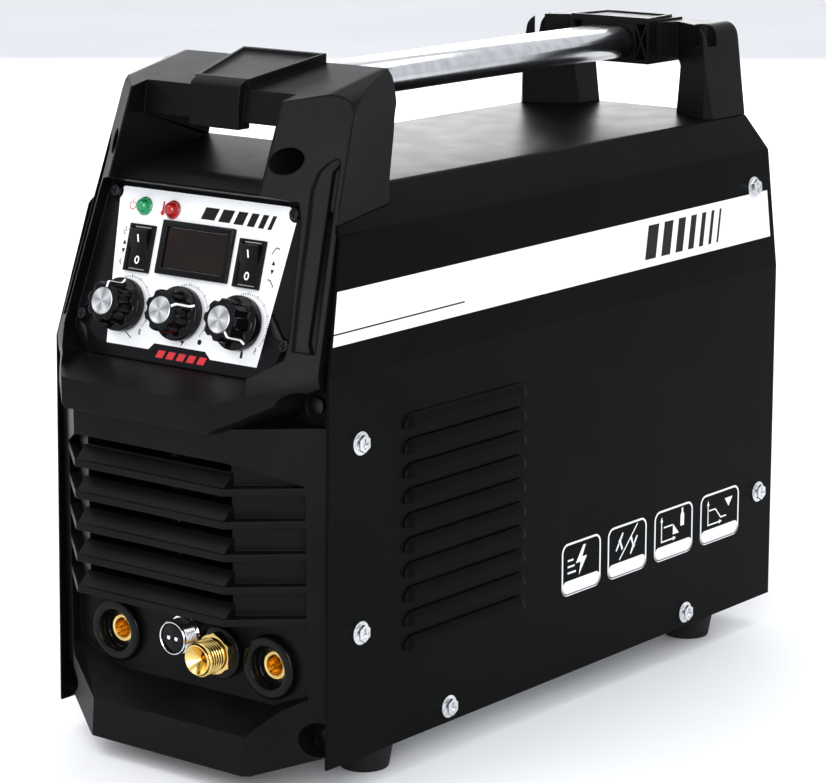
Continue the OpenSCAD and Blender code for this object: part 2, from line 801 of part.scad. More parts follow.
module downslope_knob_cap() {
    color([0.85, 0.85, 0.86]) lift() knob_cap(-knob_pitch);
}

module current_shaft() {
    color([0.8, 0.8, 0.8]) lift() pot_shaft(0);
}

module current_knob() {
    color([0.05, 0.05, 0.05]) lift() knob(0, 67);
}

module current_knob_cap() {
    color([0.85, 0.85, 0.86]) lift() knob_cap(0);
}

module postflow_shaft() {
    color([0.8, 0.8, 0.8]) lift() pot_shaft(knob_pitch);
}

module postflow_knob() {
    color([0.05, 0.05, 0.05]) lift() knob(knob_pitch, 138);
}

module postflow_knob_cap() {
    color([0.85, 0.85, 0.86]) lift() knob_cap(knob_pitch);
}

module control_board() {
    color([0.1, 0.35, 0.2]) lift() on_plate(0, 0) {
        translate([-50, -66, -17]) cube([100, 56, 1.6]);
        for (x = [-18, 6]) translate([x, -24, -19.5]) cube([12, 8, 2.6]);
    }
}

// ---------------------------------------------------------------- sockets and fittings

// Panel socket for the weld current: flange, recess and a collar through the wall
module socket_body(x) {
    color([0.06, 0.06, 0.06]) lift() difference() {
        union() {
            rod_y(14.4, -175.6, socket_face_y - 0.05, x, socket_z);
            rod_y(11, -174, -150, x, socket_z);
            rod_y(14, socket_face_y + wall + 0.05, socket_face_y + wall + 6, x, socket_z);
        }
        rod_y(9.2, -180, -170.6, x, socket_z);
        rod_y(6.6, -180, -140, x, socket_z);
    }
}

contact_bore_r = 4.6;

module socket_contact(x) {
    color([0.83, 0.66, 0.28]) lift() difference() {
        union() {
            rod_y(6.5, -170.4, -146, x, socket_z);
            translate([x, -146.5, socket_z]) rotate([-90, 0, 0]) cylinder(r = 8, h = 6, $fn = 6);
            rod_y(4, -142, -132, x, socket_z);
        }
        rod_y(contact_bore_r, -180, -152, x, socket_z);
        translate([x - 1.1, -180, socket_z]) cube([2.2, 24, 6]);
    }
}

module positive_socket() {
    socket_body(socket_x);
}

module positive_contact() {
    socket_contact(socket_x);
}

module negative_socket() {
    socket_body(-socket_x);
}

module negative_contact() {
    socket_contact(-socket_x);
}

module gas_outlet_flange() {
    color([0.06, 0.06, 0.06]) lift() difference() {
        union() {
            rod_y(12, -175.4, socket_face_y - 0.05, gas_at[0], gas_at[1]);
            rod_y(6, -174, socket_face_y + wall + 2, gas_at[0], gas_at[1]);
        }
        rod_y(5.05, -180, -160, gas_at[0], gas_at[1]);
    }
}

gas_tip_y = -189.5;
gas_bore_r = 2;
gas_thread_r = 8;
remote_thread_r = 8;

module gas_outlet() {
    color([0.85, 0.68, 0.3]) lift() difference() {
        union() {
            rod_y(gas_thread_r, gas_tip_y, -179, gas_at[0], gas_at[1]);
            translate([gas_at[0], -175.45, gas_at[1]]) rotate([90, 0, 0]) cylinder(r = 9.8, h = 3.6, $fn = 6);
            rod_y(5, -176, -164.5, gas_at[0], gas_at[1]);
            translate([gas_at[0], -166.4, gas_at[1]]) rotate([-90, 0, 0]) cylinder(r = 8, h = 4, $fn = 6);
            rod_y(3, -163, -148, gas_at[0], gas_at[1]);
        }
        rod_y(gas_bore_r, -200, -140, gas_at[0], gas_at[1]);
        translate([gas_at[0], gas_tip_y - 0.01, gas_at[1]]) rotate([-90, 0, 0])
            cylinder(r1 = 6.2, r2 = gas_bore_r, h = 5);
    }
}

module remote_socket_shell() {
    color([0.8, 0.81, 0.83]) lift() difference() {
        union() {
            rod_y(remote_thread_r, -181.8, -173.8, remote_at[0], remote_at[1]);
            rod_y(9, -173.8, socket_face_y - 0.05, remote_at[0], remote_at[1]);
            rod_y(7, -174, -164, remote_at[0], remote_at[1]);
        }
        rod_y(6.8, -184, -175.5, remote_at[0], remote_at[1]);
        rod_y(5.8, -178, -160, remote_at[0], remote_at[1]);
    }
}

module remote_socket_insert() {
    color([0.05, 0.05, 0.05]) lift() difference() {
        union() {
            rod_y(6.75, -180.9, -175.55, remote_at[0], remote_at[1]);
            rod_y(5.75, -176, -162, remote_at[0], remote_at[1]);
        }
        for (x = [-2.2, 2.2]) rod_y(1, -190, -150, remote_at[0] + x, remote_at[1]);
    }
}

module remote_socket_pins() {
    color([0.85, 0.84, 0.78]) lift() for (x = [-2.2, 2.2])
        rod_y(0.95, -181.6, -158, remote_at[0] + x, remote_at[1]);
}

// ---------------------------------------------------------------- rear

module rear_panel() {
    color([0.09, 0.09, 0.095]) lift() difference() {
        union() {
            push_y(panel_y, panel_y + 1.5) cover_section(sheet_t + 0.2);
            both_sides() translate([half_w - sheet_t - 0.2 - 1.5, panel_y - 16, 20]) cube([1.5, 17, 145]);
            both_sides() on_taper(panel_y - 8, taper_screw_at[1]) translate([-9, -8, -sheet_t - 1.9])
                cube([18, 17, 1.5]);
        }
        rod_y(fan_bore, 100, 200, 0, fan_z);
        for (x = [-1, 1]) for (z = [-1, 1]) rod_y(1.65, 100, 200, x * fan_screw, fan_z + z * fan_screw);
        translate([main_switch_at[0] - 12.8, 150, main_switch_at[1] - 13.8]) cube([25.6, 40, 27.6]);
        rod_y(5.1, 100, 200, gas_inlet_at[0], gas_inlet_at[1]);
        rod_y(8.1, 100, 200, gland_at[0], gland_at[1]);
        rod_y(3.1, 100, 200, earth_at[0], earth_at[1]);
        both_sides() translate([half_w - 10, side_screw_at[4][0], side_screw_at[4][1]]) rotate([0, 90, 0])
            cylinder(r = 1.65, h = 14);
        both_sides() on_taper(taper_screw_at[0], taper_screw_at[1]) translate([0, 0, -8])
            cylinder(r = 1.65, h = 10);
    }
}

hub_r = 20;

module fan_frame() {
    y1 = panel_y - 0.05;
    y0 = y1 - fan_t;
    color([0.06, 0.06, 0.06]) lift() difference() {
        union() {
            difference() {
                translate([-fan_size / 2, y0, fan_z - fan_size / 2]) cube([fan_size, fan_t, fan_size]);
                rod_y(fan_bore - 0.5, y0 - 1, y1 + 1, 0, fan_z);
            }
            rod_y(hub_r - 1, y0, y0 + 4, 0, fan_z);
            for (a = [45:90:315]) translate([0, y0 + 4, fan_z]) rotate([90, a, 0])
                translate([0, -3, 0]) cube([fan_bore + 2, 6, 4]);
        }
        rod_y(2 + run_gap, y0 - 1, y0 + 6, 0, fan_z);
        for (x = [-1, 1]) for (z = [-1, 1]) rod_y(1.65, y0 - 1, y1 + 1, x * fan_screw, fan_z + z * fan_screw);
    }
}

module fan_rotor() {
    y1 = panel_y - 2;
    y0 = y1 - 18;
    color([0.12, 0.12, 0.12]) lift() difference() {
        union() {
            rod_y(hub_r, y0, y1, 0, fan_z);
            rod_y(2, y0 - 4.6, y0 + 2, 0, fan_z);
            for (k = [0:blade_count - 1])
                translate([0, (y0 + y1) / 2, fan_z]) rotate([0, k * 360 / blade_count, 0])
                    rotate([0, 0, 38]) translate([-14, -0.9, 0]) cube([28, 1.8, fan_bore - 4]);
        }
        difference() {
            rod_y(200, y0 - 1, y1 + 1, 0, fan_z);
            rod_y(fan_bore - 2.5, y0 - 6, y1 + 2, 0, fan_z);
        }
        rod_y(hub_r - 2, y1 - 1, y1 + 1, 0, fan_z);
    }
}

guard_y = panel_y + 1.6;

module fan_guard() {
    reach = fan_screw * sqrt(2);
    color([0.75, 0.76, 0.78]) lift() translate([0, guard_y, fan_z]) {
        for (r = [14:7:fan_bore]) translate([0, 3.2, 0]) rotate([90, 0, 0])
            rotate_extrude() translate([r, 0]) circle(0.9, $fn = 16);
        for (a = [45, 135]) translate([0, 1.6, 0]) rotate([0, a, 0]) translate([0, 0, -reach + 3])
            cylinder(r = 1, h = 2 * reach - 6);
        translate([0, 4, 0]) rotate([90, 0, 0]) cylinder(r = 13.5, h = 1.2);
        for (x = [-1, 1]) for (z = [-1, 1]) translate([x * fan_screw, 0, z * fan_screw])
            rotate([-90, 0, 0]) difference() {
                cylinder(r = 4.2, h = 2.4);
                translate([0, 0, -1]) cylinder(r = 1.7, h = 6);
            }
    }
}

module main_switch_body() {
    color([0.05, 0.05, 0.05]) lift() translate([main_switch_at[0], panel_y + 1.5, main_switch_at[1]])
        rotate([-90, 180, 0]) rocker_housing(27, 29.6, 2, 12.9);
}

module main_switch_rocker() {
    color([0.6, 0.08, 0.08]) lift() translate([main_switch_at[0], panel_y + 1.5, main_switch_at[1]])
        rotate([-90, 180, 0]) rocker(27, 12.9, 10);
}

inlet_tip_y = 204.5;

module gas_inlet() {
    x = gas_inlet_at[0];
    z = gas_inlet_at[1];
    color([0.85, 0.68, 0.3]) lift() difference() {
        union() {
            rod_y(5, panel_y - 12, panel_y + 10, x, z);
            translate([x, panel_y + 1.55, z]) rotate([-90, 0, 0]) cylinder(r = 8, h = 6, $fn = 6);
            translate([x, panel_y - 4.1, z]) rotate([-90, 0, 0]) cylinder(r = 8, h = 4, $fn = 6);
            rod_y(3.6, panel_y + 7, inlet_tip_y - 0.01, x, z);
            for (k = [0:2]) translate([x, inlet_tip_y - 14.6 + k * 4.8, z]) rotate([-90, 0, 0])
                cylinder(r1 = 5, r2 = 3.7, h = 4.6);
            rod_y(3, panel_y - 26, panel_y - 11, x, z);
        }
        rod_y(2, panel_y - 40, inlet_tip_y + 1, x, z);
    }
}

module cord_gland() {
    x = gland_at[0];
    z = gland_at[1];
    color([0.08, 0.08, 0.08]) lift() difference() {
        union() {
            rod_y(8, panel_y - 9, panel_y + 6, x, z);
            translate([x, panel_y + 1.55, z]) rotate([-90, 0, 0]) cylinder(r = 12, h = 5, $fn = 6);
            translate([x, panel_y - 5.1, z]) rotate([-90, 0, 0]) cylinder(r = 12, h = 5, $fn = 6);
            translate([x, panel_y + 6.5, z]) rotate([-90, 0, 0]) cylinder(r1 = 10.5, r2 = 8.5, h = 12);
        }
        rod_y(5, panel_y - 20, panel_y + 30, x, z);
    }
}

module earth_stud() {
    color([0.85, 0.68, 0.3]) lift() {
        rod_y(3, panel_y - 10, panel_y + 14, earth_at[0], earth_at[1]);
        for (y = [panel_y + 1.55, panel_y - 4.1]) translate([earth_at[0], y, earth_at[1]])
            rotate([-90, 0, 0]) cylinder(r = 6, h = 4, $fn = 6);
    }
}

// ---------------------------------------------------------------- inside

board_z = 108;

module main_board() {
    color([0.1, 0.35, 0.2]) lift() {
        translate([-70, -110, board_z]) cube([140, 240, 1.8]);
        // posts down to the base
        for (x = [-66, 66]) for (y = [-104, 124]) translate([x, y, 1.5]) cylinder(r = 3, h = board_z - 1.4);
    }
}

module heatsinks() {
    color([0.7, 0.71, 0.73]) lift() for (x = [-42, 42]) translate([x, 0, 0]) {
        translate([-22, 0, 84]) cube([44, 120, 6]);
        for (k = [0:6]) translate([-22 + k * 7, 0, 22]) cube([2, 120, 63]);
        for (y = [0, 114]) translate([-22, y, 1.5]) cube([44, 6, 21]);
    }
}

module power_modules() {
    color([0.07, 0.07, 0.07]) lift() for (x = [-42, 42]) for (k = [0:3])
        translate([x - 8, 8 + k * 28, 90.05]) {
            cube([16, 20, 5]);
            for (p = [2, 7, 12]) translate([p, 8, 4.9]) cube([1.2, 1.2, board_z - 90 - 5]);
        }
}

module main_transformer() {
    color([0.35, 0.3, 0.25]) lift() translate([-34, -84, 1.6]) {
        difference() {
            cube([68, 50, 60]);
            translate([14, -1, 14]) cube([14, 60, 32]);
            translate([40, -1, 14]) cube([14, 60, 32]);
        }
        translate([12.5, -9, 15]) difference() {
            cube([43, 68, 30]);
            translate([15.6, 9.1, -1]) cube([11.8, 49.8, 32]);
        }
    }
}

module output_choke() {
    color([0.72, 0.45, 0.2]) lift() translate([26, -118, 1.6]) difference() {
        cylinder(r = 24, h = 26);
        translate([0, 0, -1]) cylinder(r = 10, h = 30);
    }
}

module filter_capacitors() {
    color([0.12, 0.14, 0.3]) lift() for (x = [-38, 0, 38]) for (y = [-70, -30])
        translate([x, y, board_z + 1.85]) cylinder(r = 15, h = 45);
}

valve_at = [-60, 110];

module gas_valve() {
    color([0.75, 0.62, 0.3]) lift() translate([valve_at[0], valve_at[1], gas_inlet_at[1] - 8]) difference() {
        union() {
            translate([-13, -15, 0]) cube([26, 30, 16]);
            translate([0, 0, 15.9]) cylinder(r = 11, h = 24);
            rod_y(3, -27, 27, 0, 8);
        }
        translate([0, 0, 8]) cylinder(r = 3.5, h = 28);
        rod_y(2, -30, 30, 0, 8);
    }
}

module gas_valve_plunger() {
    color([0.7, 0.71, 0.73]) lift() translate([valve_at[0], valve_at[1], gas_inlet_at[1] + 2.1])
        cylinder(r = 3.45, h = 20);
}

hose_r = 4.5;
hose_bore = 3.05;
hose_turn = 20;

module hose_section() {
    difference() {
        circle(hose_r, $fn = 32);
        circle(hose_bore, $fn = 32);
    }
}

// Straight run from a point, along local z
module hose_run(from, length, turn) {
    translate(from) rotate(turn) linear_extrude(length) hose_section();
}

// Quarter bend about a centre
module hose_bend(center, turn) {
    translate(center) rotate(turn) rotate_extrude(angle = 90) translate([hose_turn, 0]) hose_section();
}

module gas_hoses() {
    x = valve_at[0];
    z = gas_inlet_at[1];
    front_y = -98;          // where the upper run starts to turn down
    cross_y = front_y - hose_turn;
    low_z = gas_at[1];
    end_x = gas_at[0];
    valve_face = 15.05;
    color([0.1, 0.1, 0.1]) lift() {
        // inlet to valve
        hose_run([x, valve_at[1] + valve_face, z], panel_y - 12.1 - valve_at[1] - valve_face, [-90, 0, 0]);
        // valve to the front, down, across and out to the fitting
        hose_run([x, front_y, z], valve_at[1] - valve_face - front_y, [-90, 0, 0]);
        hose_bend([x, front_y, z - hose_turn], [0, -90, 180]);
        hose_run([x, cross_y, low_z + hose_turn], z - low_z - 2 * hose_turn, [0, 0, 0]);
        hose_bend([x + hose_turn, cross_y, low_z + hose_turn], [90, 180, 0]);
        hose_run([x + hose_turn, cross_y, low_z], end_x - x - 2 * hose_turn, [0, 90, 0]);
        hose_bend([end_x - hose_turn, cross_y - hose_turn, low_z], [0, 0, 0]);
        hose_run([end_x, cross_y - hose_turn, low_z], 22, [90, 0, 0]);
    }
}

module output_busbars() {
    color([0.8, 0.5, 0.3]) lift() for (x = [-socket_x, socket_x]) difference() {
        union() {
            translate([x - 8, -140.3, socket_z - 8]) cube([16, 2, 60]);
            translate([x - 8, -140.3, socket_z + 50]) cube([16, 60, 2]);
        }
        rod_y(4.1, -150, -130, x, socket_z);
    }
}

cover();
base_pan();
rear_panel();
front_fascia();
rear_bracket();
handle_tube();
rubber_feet();
foot_screws();
case_screws();
fascia_screws();
front_handle_bolts();
bracket_screws();
control_plate();
plate_screws();
power_led();
fault_led();
display_bezel();
display_window();
mode_switch_body();
mode_switch_rocker();
slope_switch_body();
slope_switch_rocker();
potentiometers();
downslope_shaft();
downslope_knob();
downslope_knob_cap();
current_shaft();
current_knob();
current_knob_cap();
postflow_shaft();
postflow_knob();
postflow_knob_cap();
control_board();
positive_socket();
positive_contact();
negative_socket();
negative_contact();
gas_outlet_flange();
gas_outlet();
remote_socket_shell();
remote_socket_insert();
remote_socket_pins();
fan_frame();
fan_rotor();
fan_guard();
main_switch_body();
main_switch_rocker();
gas_inlet();
cord_gland();
earth_stud();
main_board();
heatsinks();
power_modules();
main_transformer();
output_choke();
filter_capacitors();
gas_valve();
gas_valve_plunger();
gas_hoses();
output_busbars();
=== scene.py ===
"""Looks of the TIG welding machine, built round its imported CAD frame. Metres, +Z up, the front faces -Y."""
import json
import math
import bmesh
import bpy
from mathutils import Matrix, Vector
from mathutils.bvhtree import BVHTree
from mathutils.kdtree import KDTree

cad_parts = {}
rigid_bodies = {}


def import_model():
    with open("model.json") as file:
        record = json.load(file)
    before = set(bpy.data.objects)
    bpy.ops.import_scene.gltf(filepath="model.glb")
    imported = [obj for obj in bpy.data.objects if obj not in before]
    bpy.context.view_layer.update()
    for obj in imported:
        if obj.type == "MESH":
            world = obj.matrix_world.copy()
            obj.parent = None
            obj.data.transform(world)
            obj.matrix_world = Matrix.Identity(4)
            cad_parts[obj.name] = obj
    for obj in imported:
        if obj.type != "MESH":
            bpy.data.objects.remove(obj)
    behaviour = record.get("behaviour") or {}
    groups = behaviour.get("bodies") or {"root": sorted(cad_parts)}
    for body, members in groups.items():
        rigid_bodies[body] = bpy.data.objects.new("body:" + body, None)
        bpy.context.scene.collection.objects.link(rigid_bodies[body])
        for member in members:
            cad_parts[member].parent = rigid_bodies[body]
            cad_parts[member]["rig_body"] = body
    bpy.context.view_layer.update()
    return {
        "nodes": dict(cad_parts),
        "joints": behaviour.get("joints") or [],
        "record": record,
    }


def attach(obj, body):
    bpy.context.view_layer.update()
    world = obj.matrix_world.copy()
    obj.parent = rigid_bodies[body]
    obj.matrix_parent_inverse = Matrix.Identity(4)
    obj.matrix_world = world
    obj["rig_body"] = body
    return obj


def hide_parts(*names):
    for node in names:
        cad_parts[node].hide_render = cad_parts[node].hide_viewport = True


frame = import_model()
nodes = frame["nodes"]
joints = {joint["name"]: joint for joint in frame["joints"]}
scene = bpy.context.scene
scene.view_settings.view_transform = "Standard"

MM = 0.001
BODY = nodes["cover"]["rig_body"]

# Sizes shared with the CAD, in millimetres, with heights from the cover's bottom edge
FOOT = 15
HALF_WIDTH = 80             # cover
HALF_LENGTH = 176.6
SHEET = 1.2
BEND_Z = 170.7              # where the sides start to lean in
TAPER_IN = 6.4              # how far they lean in over TAPER_RISE
TAPER_RISE = 58.5
PLATE_Y = -160.2            # top edge of the control plate
PLATE_Z = 240
PLATE_TILT = 16.4
KNOB_X = 34
KNOB_S = 52.8               # s runs down the plate from its top edge
SCALE_S = 52.9
SWITCH_X = 32
SWITCH_S = 27
ROCKER_TILT = 10
LAMP_S = 8.4
FACE_Y = -172               # lower front face that the sockets sit in
OUTLET = (17, -175.45, 40.5)

# ---------------------------------------------------------------- camera, floor and light

CAMERA_TARGET = Vector((-0.01327, 0, 0.13841))
CAMERA_AZIMUTH = math.radians(38.51)
CAMERA_ELEVATION = math.radians(12.46)
CAMERA_DISTANCE = 1.5135
CAMERA_LENS = 136.98
LIGHT_TARGET = Vector((0, 0, 0.15))


def direction(azimuth, elevation):
    """Unit vector from the machine towards a place; azimuth 0 is straight in front."""
    return Vector((math.sin(azimuth) * math.cos(elevation), -math.cos(azimuth) * math.cos(elevation),
                   math.sin(elevation)))


def make_camera():
    data = bpy.data.cameras.new("camera")
    data.sensor_width = 36
    data.lens = CAMERA_LENS
    camera = bpy.data.objects.new("camera", data)
    scene.collection.objects.link(camera)
    away = direction(CAMERA_AZIMUTH, CAMERA_ELEVATION)
    camera.location = CAMERA_TARGET + CAMERA_DISTANCE * away
    camera.rotation_euler = (-away).to_track_quat("-Z", "Y").to_euler()
    scene.camera = camera


def area_light(name, azimuth, elevation, distance, size, power):
    """Soft box that looks at the machine. Angles in degrees, size (width, height) in metres."""
    data = bpy.data.lights.new(name, "AREA")
    data.shape = "RECTANGLE"
    data.size, data.size_y = size
    data.energy = power
    light = bpy.data.objects.new(name, data)
    scene.collection.objects.link(light)
    away = direction(math.radians(azimuth), math.radians(elevation))
    light.location = LIGHT_TARGET + distance * away
    light.rotation_euler = (-away).to_track_quat("-Z", "Y").to_euler()


def make_floor():
    bm = bmesh.new()
    bmesh.ops.create_grid(bm, x_segments=8, y_segments=8, size=6)
    mesh = bpy.data.meshes.new("floor")
    bm.to_mesh(mesh)
    floor = bpy.data.objects.new("floor", mesh)
    scene.collection.objects.link(floor)
    mesh.materials.append(floor_paper())


def make_world():
    world = bpy.data.worlds.new("studio")
    scene.world = world
    world.use_nodes = True
    world.node_tree.nodes["Background"].inputs["Color"].default_value = (0.93, 0.95, 1, 1)
    world.node_tree.nodes["Background"].inputs["Strength"].default_value = 0.98


def make_lights():
    area_light("key", -35, 52, 1.8, (1.2, 1.0), 10)
    area_light("facets", 38, 17, 2.0, (0.7, 1.1), 20)
    area_light("top", 20, 86, 1.5, (0.5, 1.4), 4)
    area_light("back", 165, 58, 1.8, (1.4, 0.6), 5)
    area_light("sheen", -142, 12, 2.6, (1.6, 0.8), 22)


# ---------------------------------------------------------------- material helpers

class Shader:
    """A principled material with the few node chains that this machine's finishes need."""

    def __init__(self, name, color, soft_edge=None, **sockets):
        self.material = bpy.data.materials.new(name)
        self.material.use_nodes = True
        self.tree = self.material.node_tree
        self.bsdf = self.tree.nodes["Principled BSDF"]
        self.bsdf.inputs["Base Color"].default_value = (*color, 1)
        for socket, value in sockets.items():
            self.bsdf.inputs[socket.replace("_", " ")].default_value = value
        self.coords = self.node("ShaderNodeTexCoord").outputs["Object"]
        self.normal = None
        if soft_edge:
            bevel = self.node("ShaderNodeBevel", Radius=soft_edge)
            bevel.samples = 6
            self.normal = bevel.outputs["Normal"]
            self.link(self.normal, self.bsdf.inputs["Normal"])

    def node(self, kind, **inputs):
        made = self.tree.nodes.new(kind)
        for name, value in inputs.items():
            made.inputs[name.replace("_", " ")].default_value = value
        return made

    def link(self, source, target):
        self.tree.links.new(source, target)

    def stretched(self, scale):
        mapping = self.node("ShaderNodeMapping", Scale=scale)
        self.link(self.coords, mapping.inputs["Vector"])
        return mapping.outputs["Vector"]

    def noise(self, scale, detail=3, stretch=(1, 1, 1)):
        made = self.node("ShaderNodeTexNoise", Scale=scale, Detail=detail)
        self.link(self.stretched(stretch), made.inputs["Vector"])
        return made.outputs["Fac"]

    def cells(self, scale):
        made = self.node("ShaderNodeTexVoronoi", Scale=scale)
        self.link(self.coords, made.inputs["Vector"])
        return made.outputs["Distance"]

    def ramp(self, source, low, high, dark=(0, 0, 0), light=(1, 1, 1)):
        made = self.node("ShaderNodeValToRGB")
        made.color_ramp.elements[0].position = low
        made.color_ramp.elements[1].position = high
        made.color_ramp.elements[0].color = (*dark, 1)
        made.color_ramp.elements[1].color = (*light, 1)
        self.link(source, made.inputs["Fac"])
        return made.outputs["Color"]

    def spread(self, source, low, high):
        made = self.node("ShaderNodeMapRange")
        made.inputs["To Min"].default_value = low
        made.inputs["To Max"].default_value = high
        self.link(source, made.inputs["Value"])
        return made.outputs["Result"]

    def color(self, source, dark, light, low=0.3, high=0.7):
        self.link(self.ramp(source, low, high, dark, light), self.bsdf.inputs["Base Color"])
        return self

    def rough(self, source, low, high):
        self.link(self.spread(source, low, high), self.bsdf.inputs["Roughness"])
        return self

    def bump(self, source, height, strength=1):
        """Adds relief of a height in metres to what is there already."""
        made = self.node("ShaderNodeBump", Strength=strength, Distance=height)
        self.link(source, made.inputs["Height"])
        if self.normal is not None:
            self.link(self.normal, made.inputs["Normal"])
        self.normal = made.outputs["Normal"]
        self.link(self.normal, self.bsdf.inputs["Normal"])
        return self


# ---------------------------------------------------------------- materials

def floor_paper():
    paper = Shader("floor_paper", (0.84, 0.845, 0.85), Roughness=0.75, Specular_IOR_Level=0.2)
    return paper.color(paper.noise(3, 2), (0.84, 0.845, 0.85), (0.88, 0.885, 0.89)).material


def powder_coat():
    """Satin black powder coat with a fine orange peel."""
    coat = Shader("powder_coat", (0.002, 0.0022, 0.0022), Specular_IOR_Level=0.03)
    peel = coat.noise(900, 2)
    coat.color(coat.noise(14, 4), (0.0014, 0.0016, 0.0016), (0.0024, 0.0027, 0.0026))
    coat.rough(coat.noise(60, 3), 0.32, 0.42)
    return coat.bump(peel, 0.00006, 0.5).bump(coat.noise(3200, 1), 0.00002, 0.4).material


def moulding():
    """Black ABS from a spark-eroded mould."""
    abs_black = Shader("moulding", (0.003, 0.003, 0.0032), 0.8 * MM, Specular_IOR_Level=0.07)
    abs_black.color(abs_black.noise(25, 3), (0.0024, 0.0024, 0.0026), (0.004, 0.004, 0.0043))
    abs_black.rough(abs_black.noise(120, 4), 0.33, 0.43)
    abs_black.bump(abs_black.cells(2600), 0.00003, 0.55)
    return abs_black.bump(abs_black.noise(1500, 2), 0.00003, 0.4).material


def gloss_black(name="gloss_black", roughness=0.12):
    gloss = Shader(name, (0.003, 0.003, 0.0034), Specular_IOR_Level=0.12)
    gloss.color(gloss.noise(40, 2), (0.002, 0.002, 0.0022), (0.0035, 0.0035, 0.0038))
    gloss.rough(gloss.noise(90, 3), roughness - 0.04, roughness + 0.06)
    return gloss.bump(gloss.noise(700, 2), 0.00001, 0.3).material


def metal(name, dark, light, low, high, grain=400, stretch=(1, 1, 1), relief=0.00001):
    """Metal with cloudy colour, and a grain that may be stretched along an axis."""
    made = Shader(name, light, Metallic=1.0)
    made.color(made.noise(grain * 0.2, 3), dark, light)
    made.rough(made.noise(grain, 4, stretch), low, high)
    return made.bump(made.noise(grain, 3, stretch), relief, 0.5).material


HALF_PAINTED_SHEEN_FAN = 1 / 8            # half the turn from one painted highlight fan on a spun cap to the next


def spun_cap():
    """Aluminium face turned in fine rings round its own z, with painted highlight fans and painted shade fans
    in its colour.
    """
    made = Shader("spun_cap", (0.86, 0.87, 0.88), Metallic=1.0, Anisotropic=0.9)
    around = made.node("ShaderNodeTangent")
    around.direction_type = "RADIAL"
    around.axis = "Z"
    made.link(around.outputs["Tangent"], made.bsdf.inputs["Tangent"])
    rings = made.node("ShaderNodeTexWave", Scale=1400, Distortion=0.4, Detail=1)
    rings.wave_type = "RINGS"
    rings.rings_direction = "Z"
    made.link(made.coords, rings.inputs["Vector"])
    # painted highlight and painted shade: the base colour goes light and dark by angle round the axis,
    # standing in for the spun face's conic reflections
    painted_sheen_angle = made.node("ShaderNodeTexGradient")
    painted_sheen_angle.gradient_type = "RADIAL"
    made.link(made.coords, painted_sheen_angle.inputs["Vector"])
    painted_sheen_fans = made.node("ShaderNodeMath")
    painted_sheen_fans.operation = "PINGPONG"
    painted_sheen_fans.inputs[1].default_value = HALF_PAINTED_SHEEN_FAN
    made.link(painted_sheen_angle.outputs["Fac"], painted_sheen_fans.inputs[0])
    made.color(painted_sheen_fans.outputs[0], (0.3, 0.3, 0.31), (0.74, 0.75, 0.76), 0.0, HALF_PAINTED_SHEEN_FAN)
    made.rough(made.noise(900, 3), 0.26, 0.32)
    return made.bump(rings.outputs["Fac"], 0.00002, 0.8).material


def rubber():
    made = Shader("rubber", (0.009, 0.009, 0.009), Specular_IOR_Level=0.15)
    made.color(made.noise(80, 4), (0.006, 0.006, 0.006), (0.012, 0.012, 0.012))
    made.rough(made.noise(200, 3), 0.62, 0.8)
    return made.bump(made.noise(1200, 4), 0.00005, 0.6).material


def plastic(name, dark, light, low=0.4, high=0.55, specular=0.4):
    made = Shader(name, light, Specular_IOR_Level=specular)
    made.color(made.noise(60, 3), dark, light)
    made.rough(made.noise(150, 3), low, high)
    return made.bump(made.noise(1300, 2), 0.00002, 0.4).material


def lens(name, dark, light):
    made = Shader(name, light, Transmission_Weight=0.35, IOR=1.5, Specular_IOR_Level=0.6)
    made.color(made.noise(700, 2), dark, light, 0.25, 0.75)
    made.rough(made.noise(300, 2), 0.02, 0.06)
    return made.bump(made.noise(500, 1), 0.00001, 0.3).material


def smoked_filter():
    made = Shader("smoked_filter", (0.008, 0.004, 0.003), Specular_IOR_Level=0.12)
    made.color(made.noise(60, 2), (0.007, 0.0042, 0.0036), (0.011, 0.0066, 0.0055))
    made.rough(made.noise(200, 2), 0.08, 0.14)
    return made.bump(made.noise(500, 1), 0.00001, 0.2).material


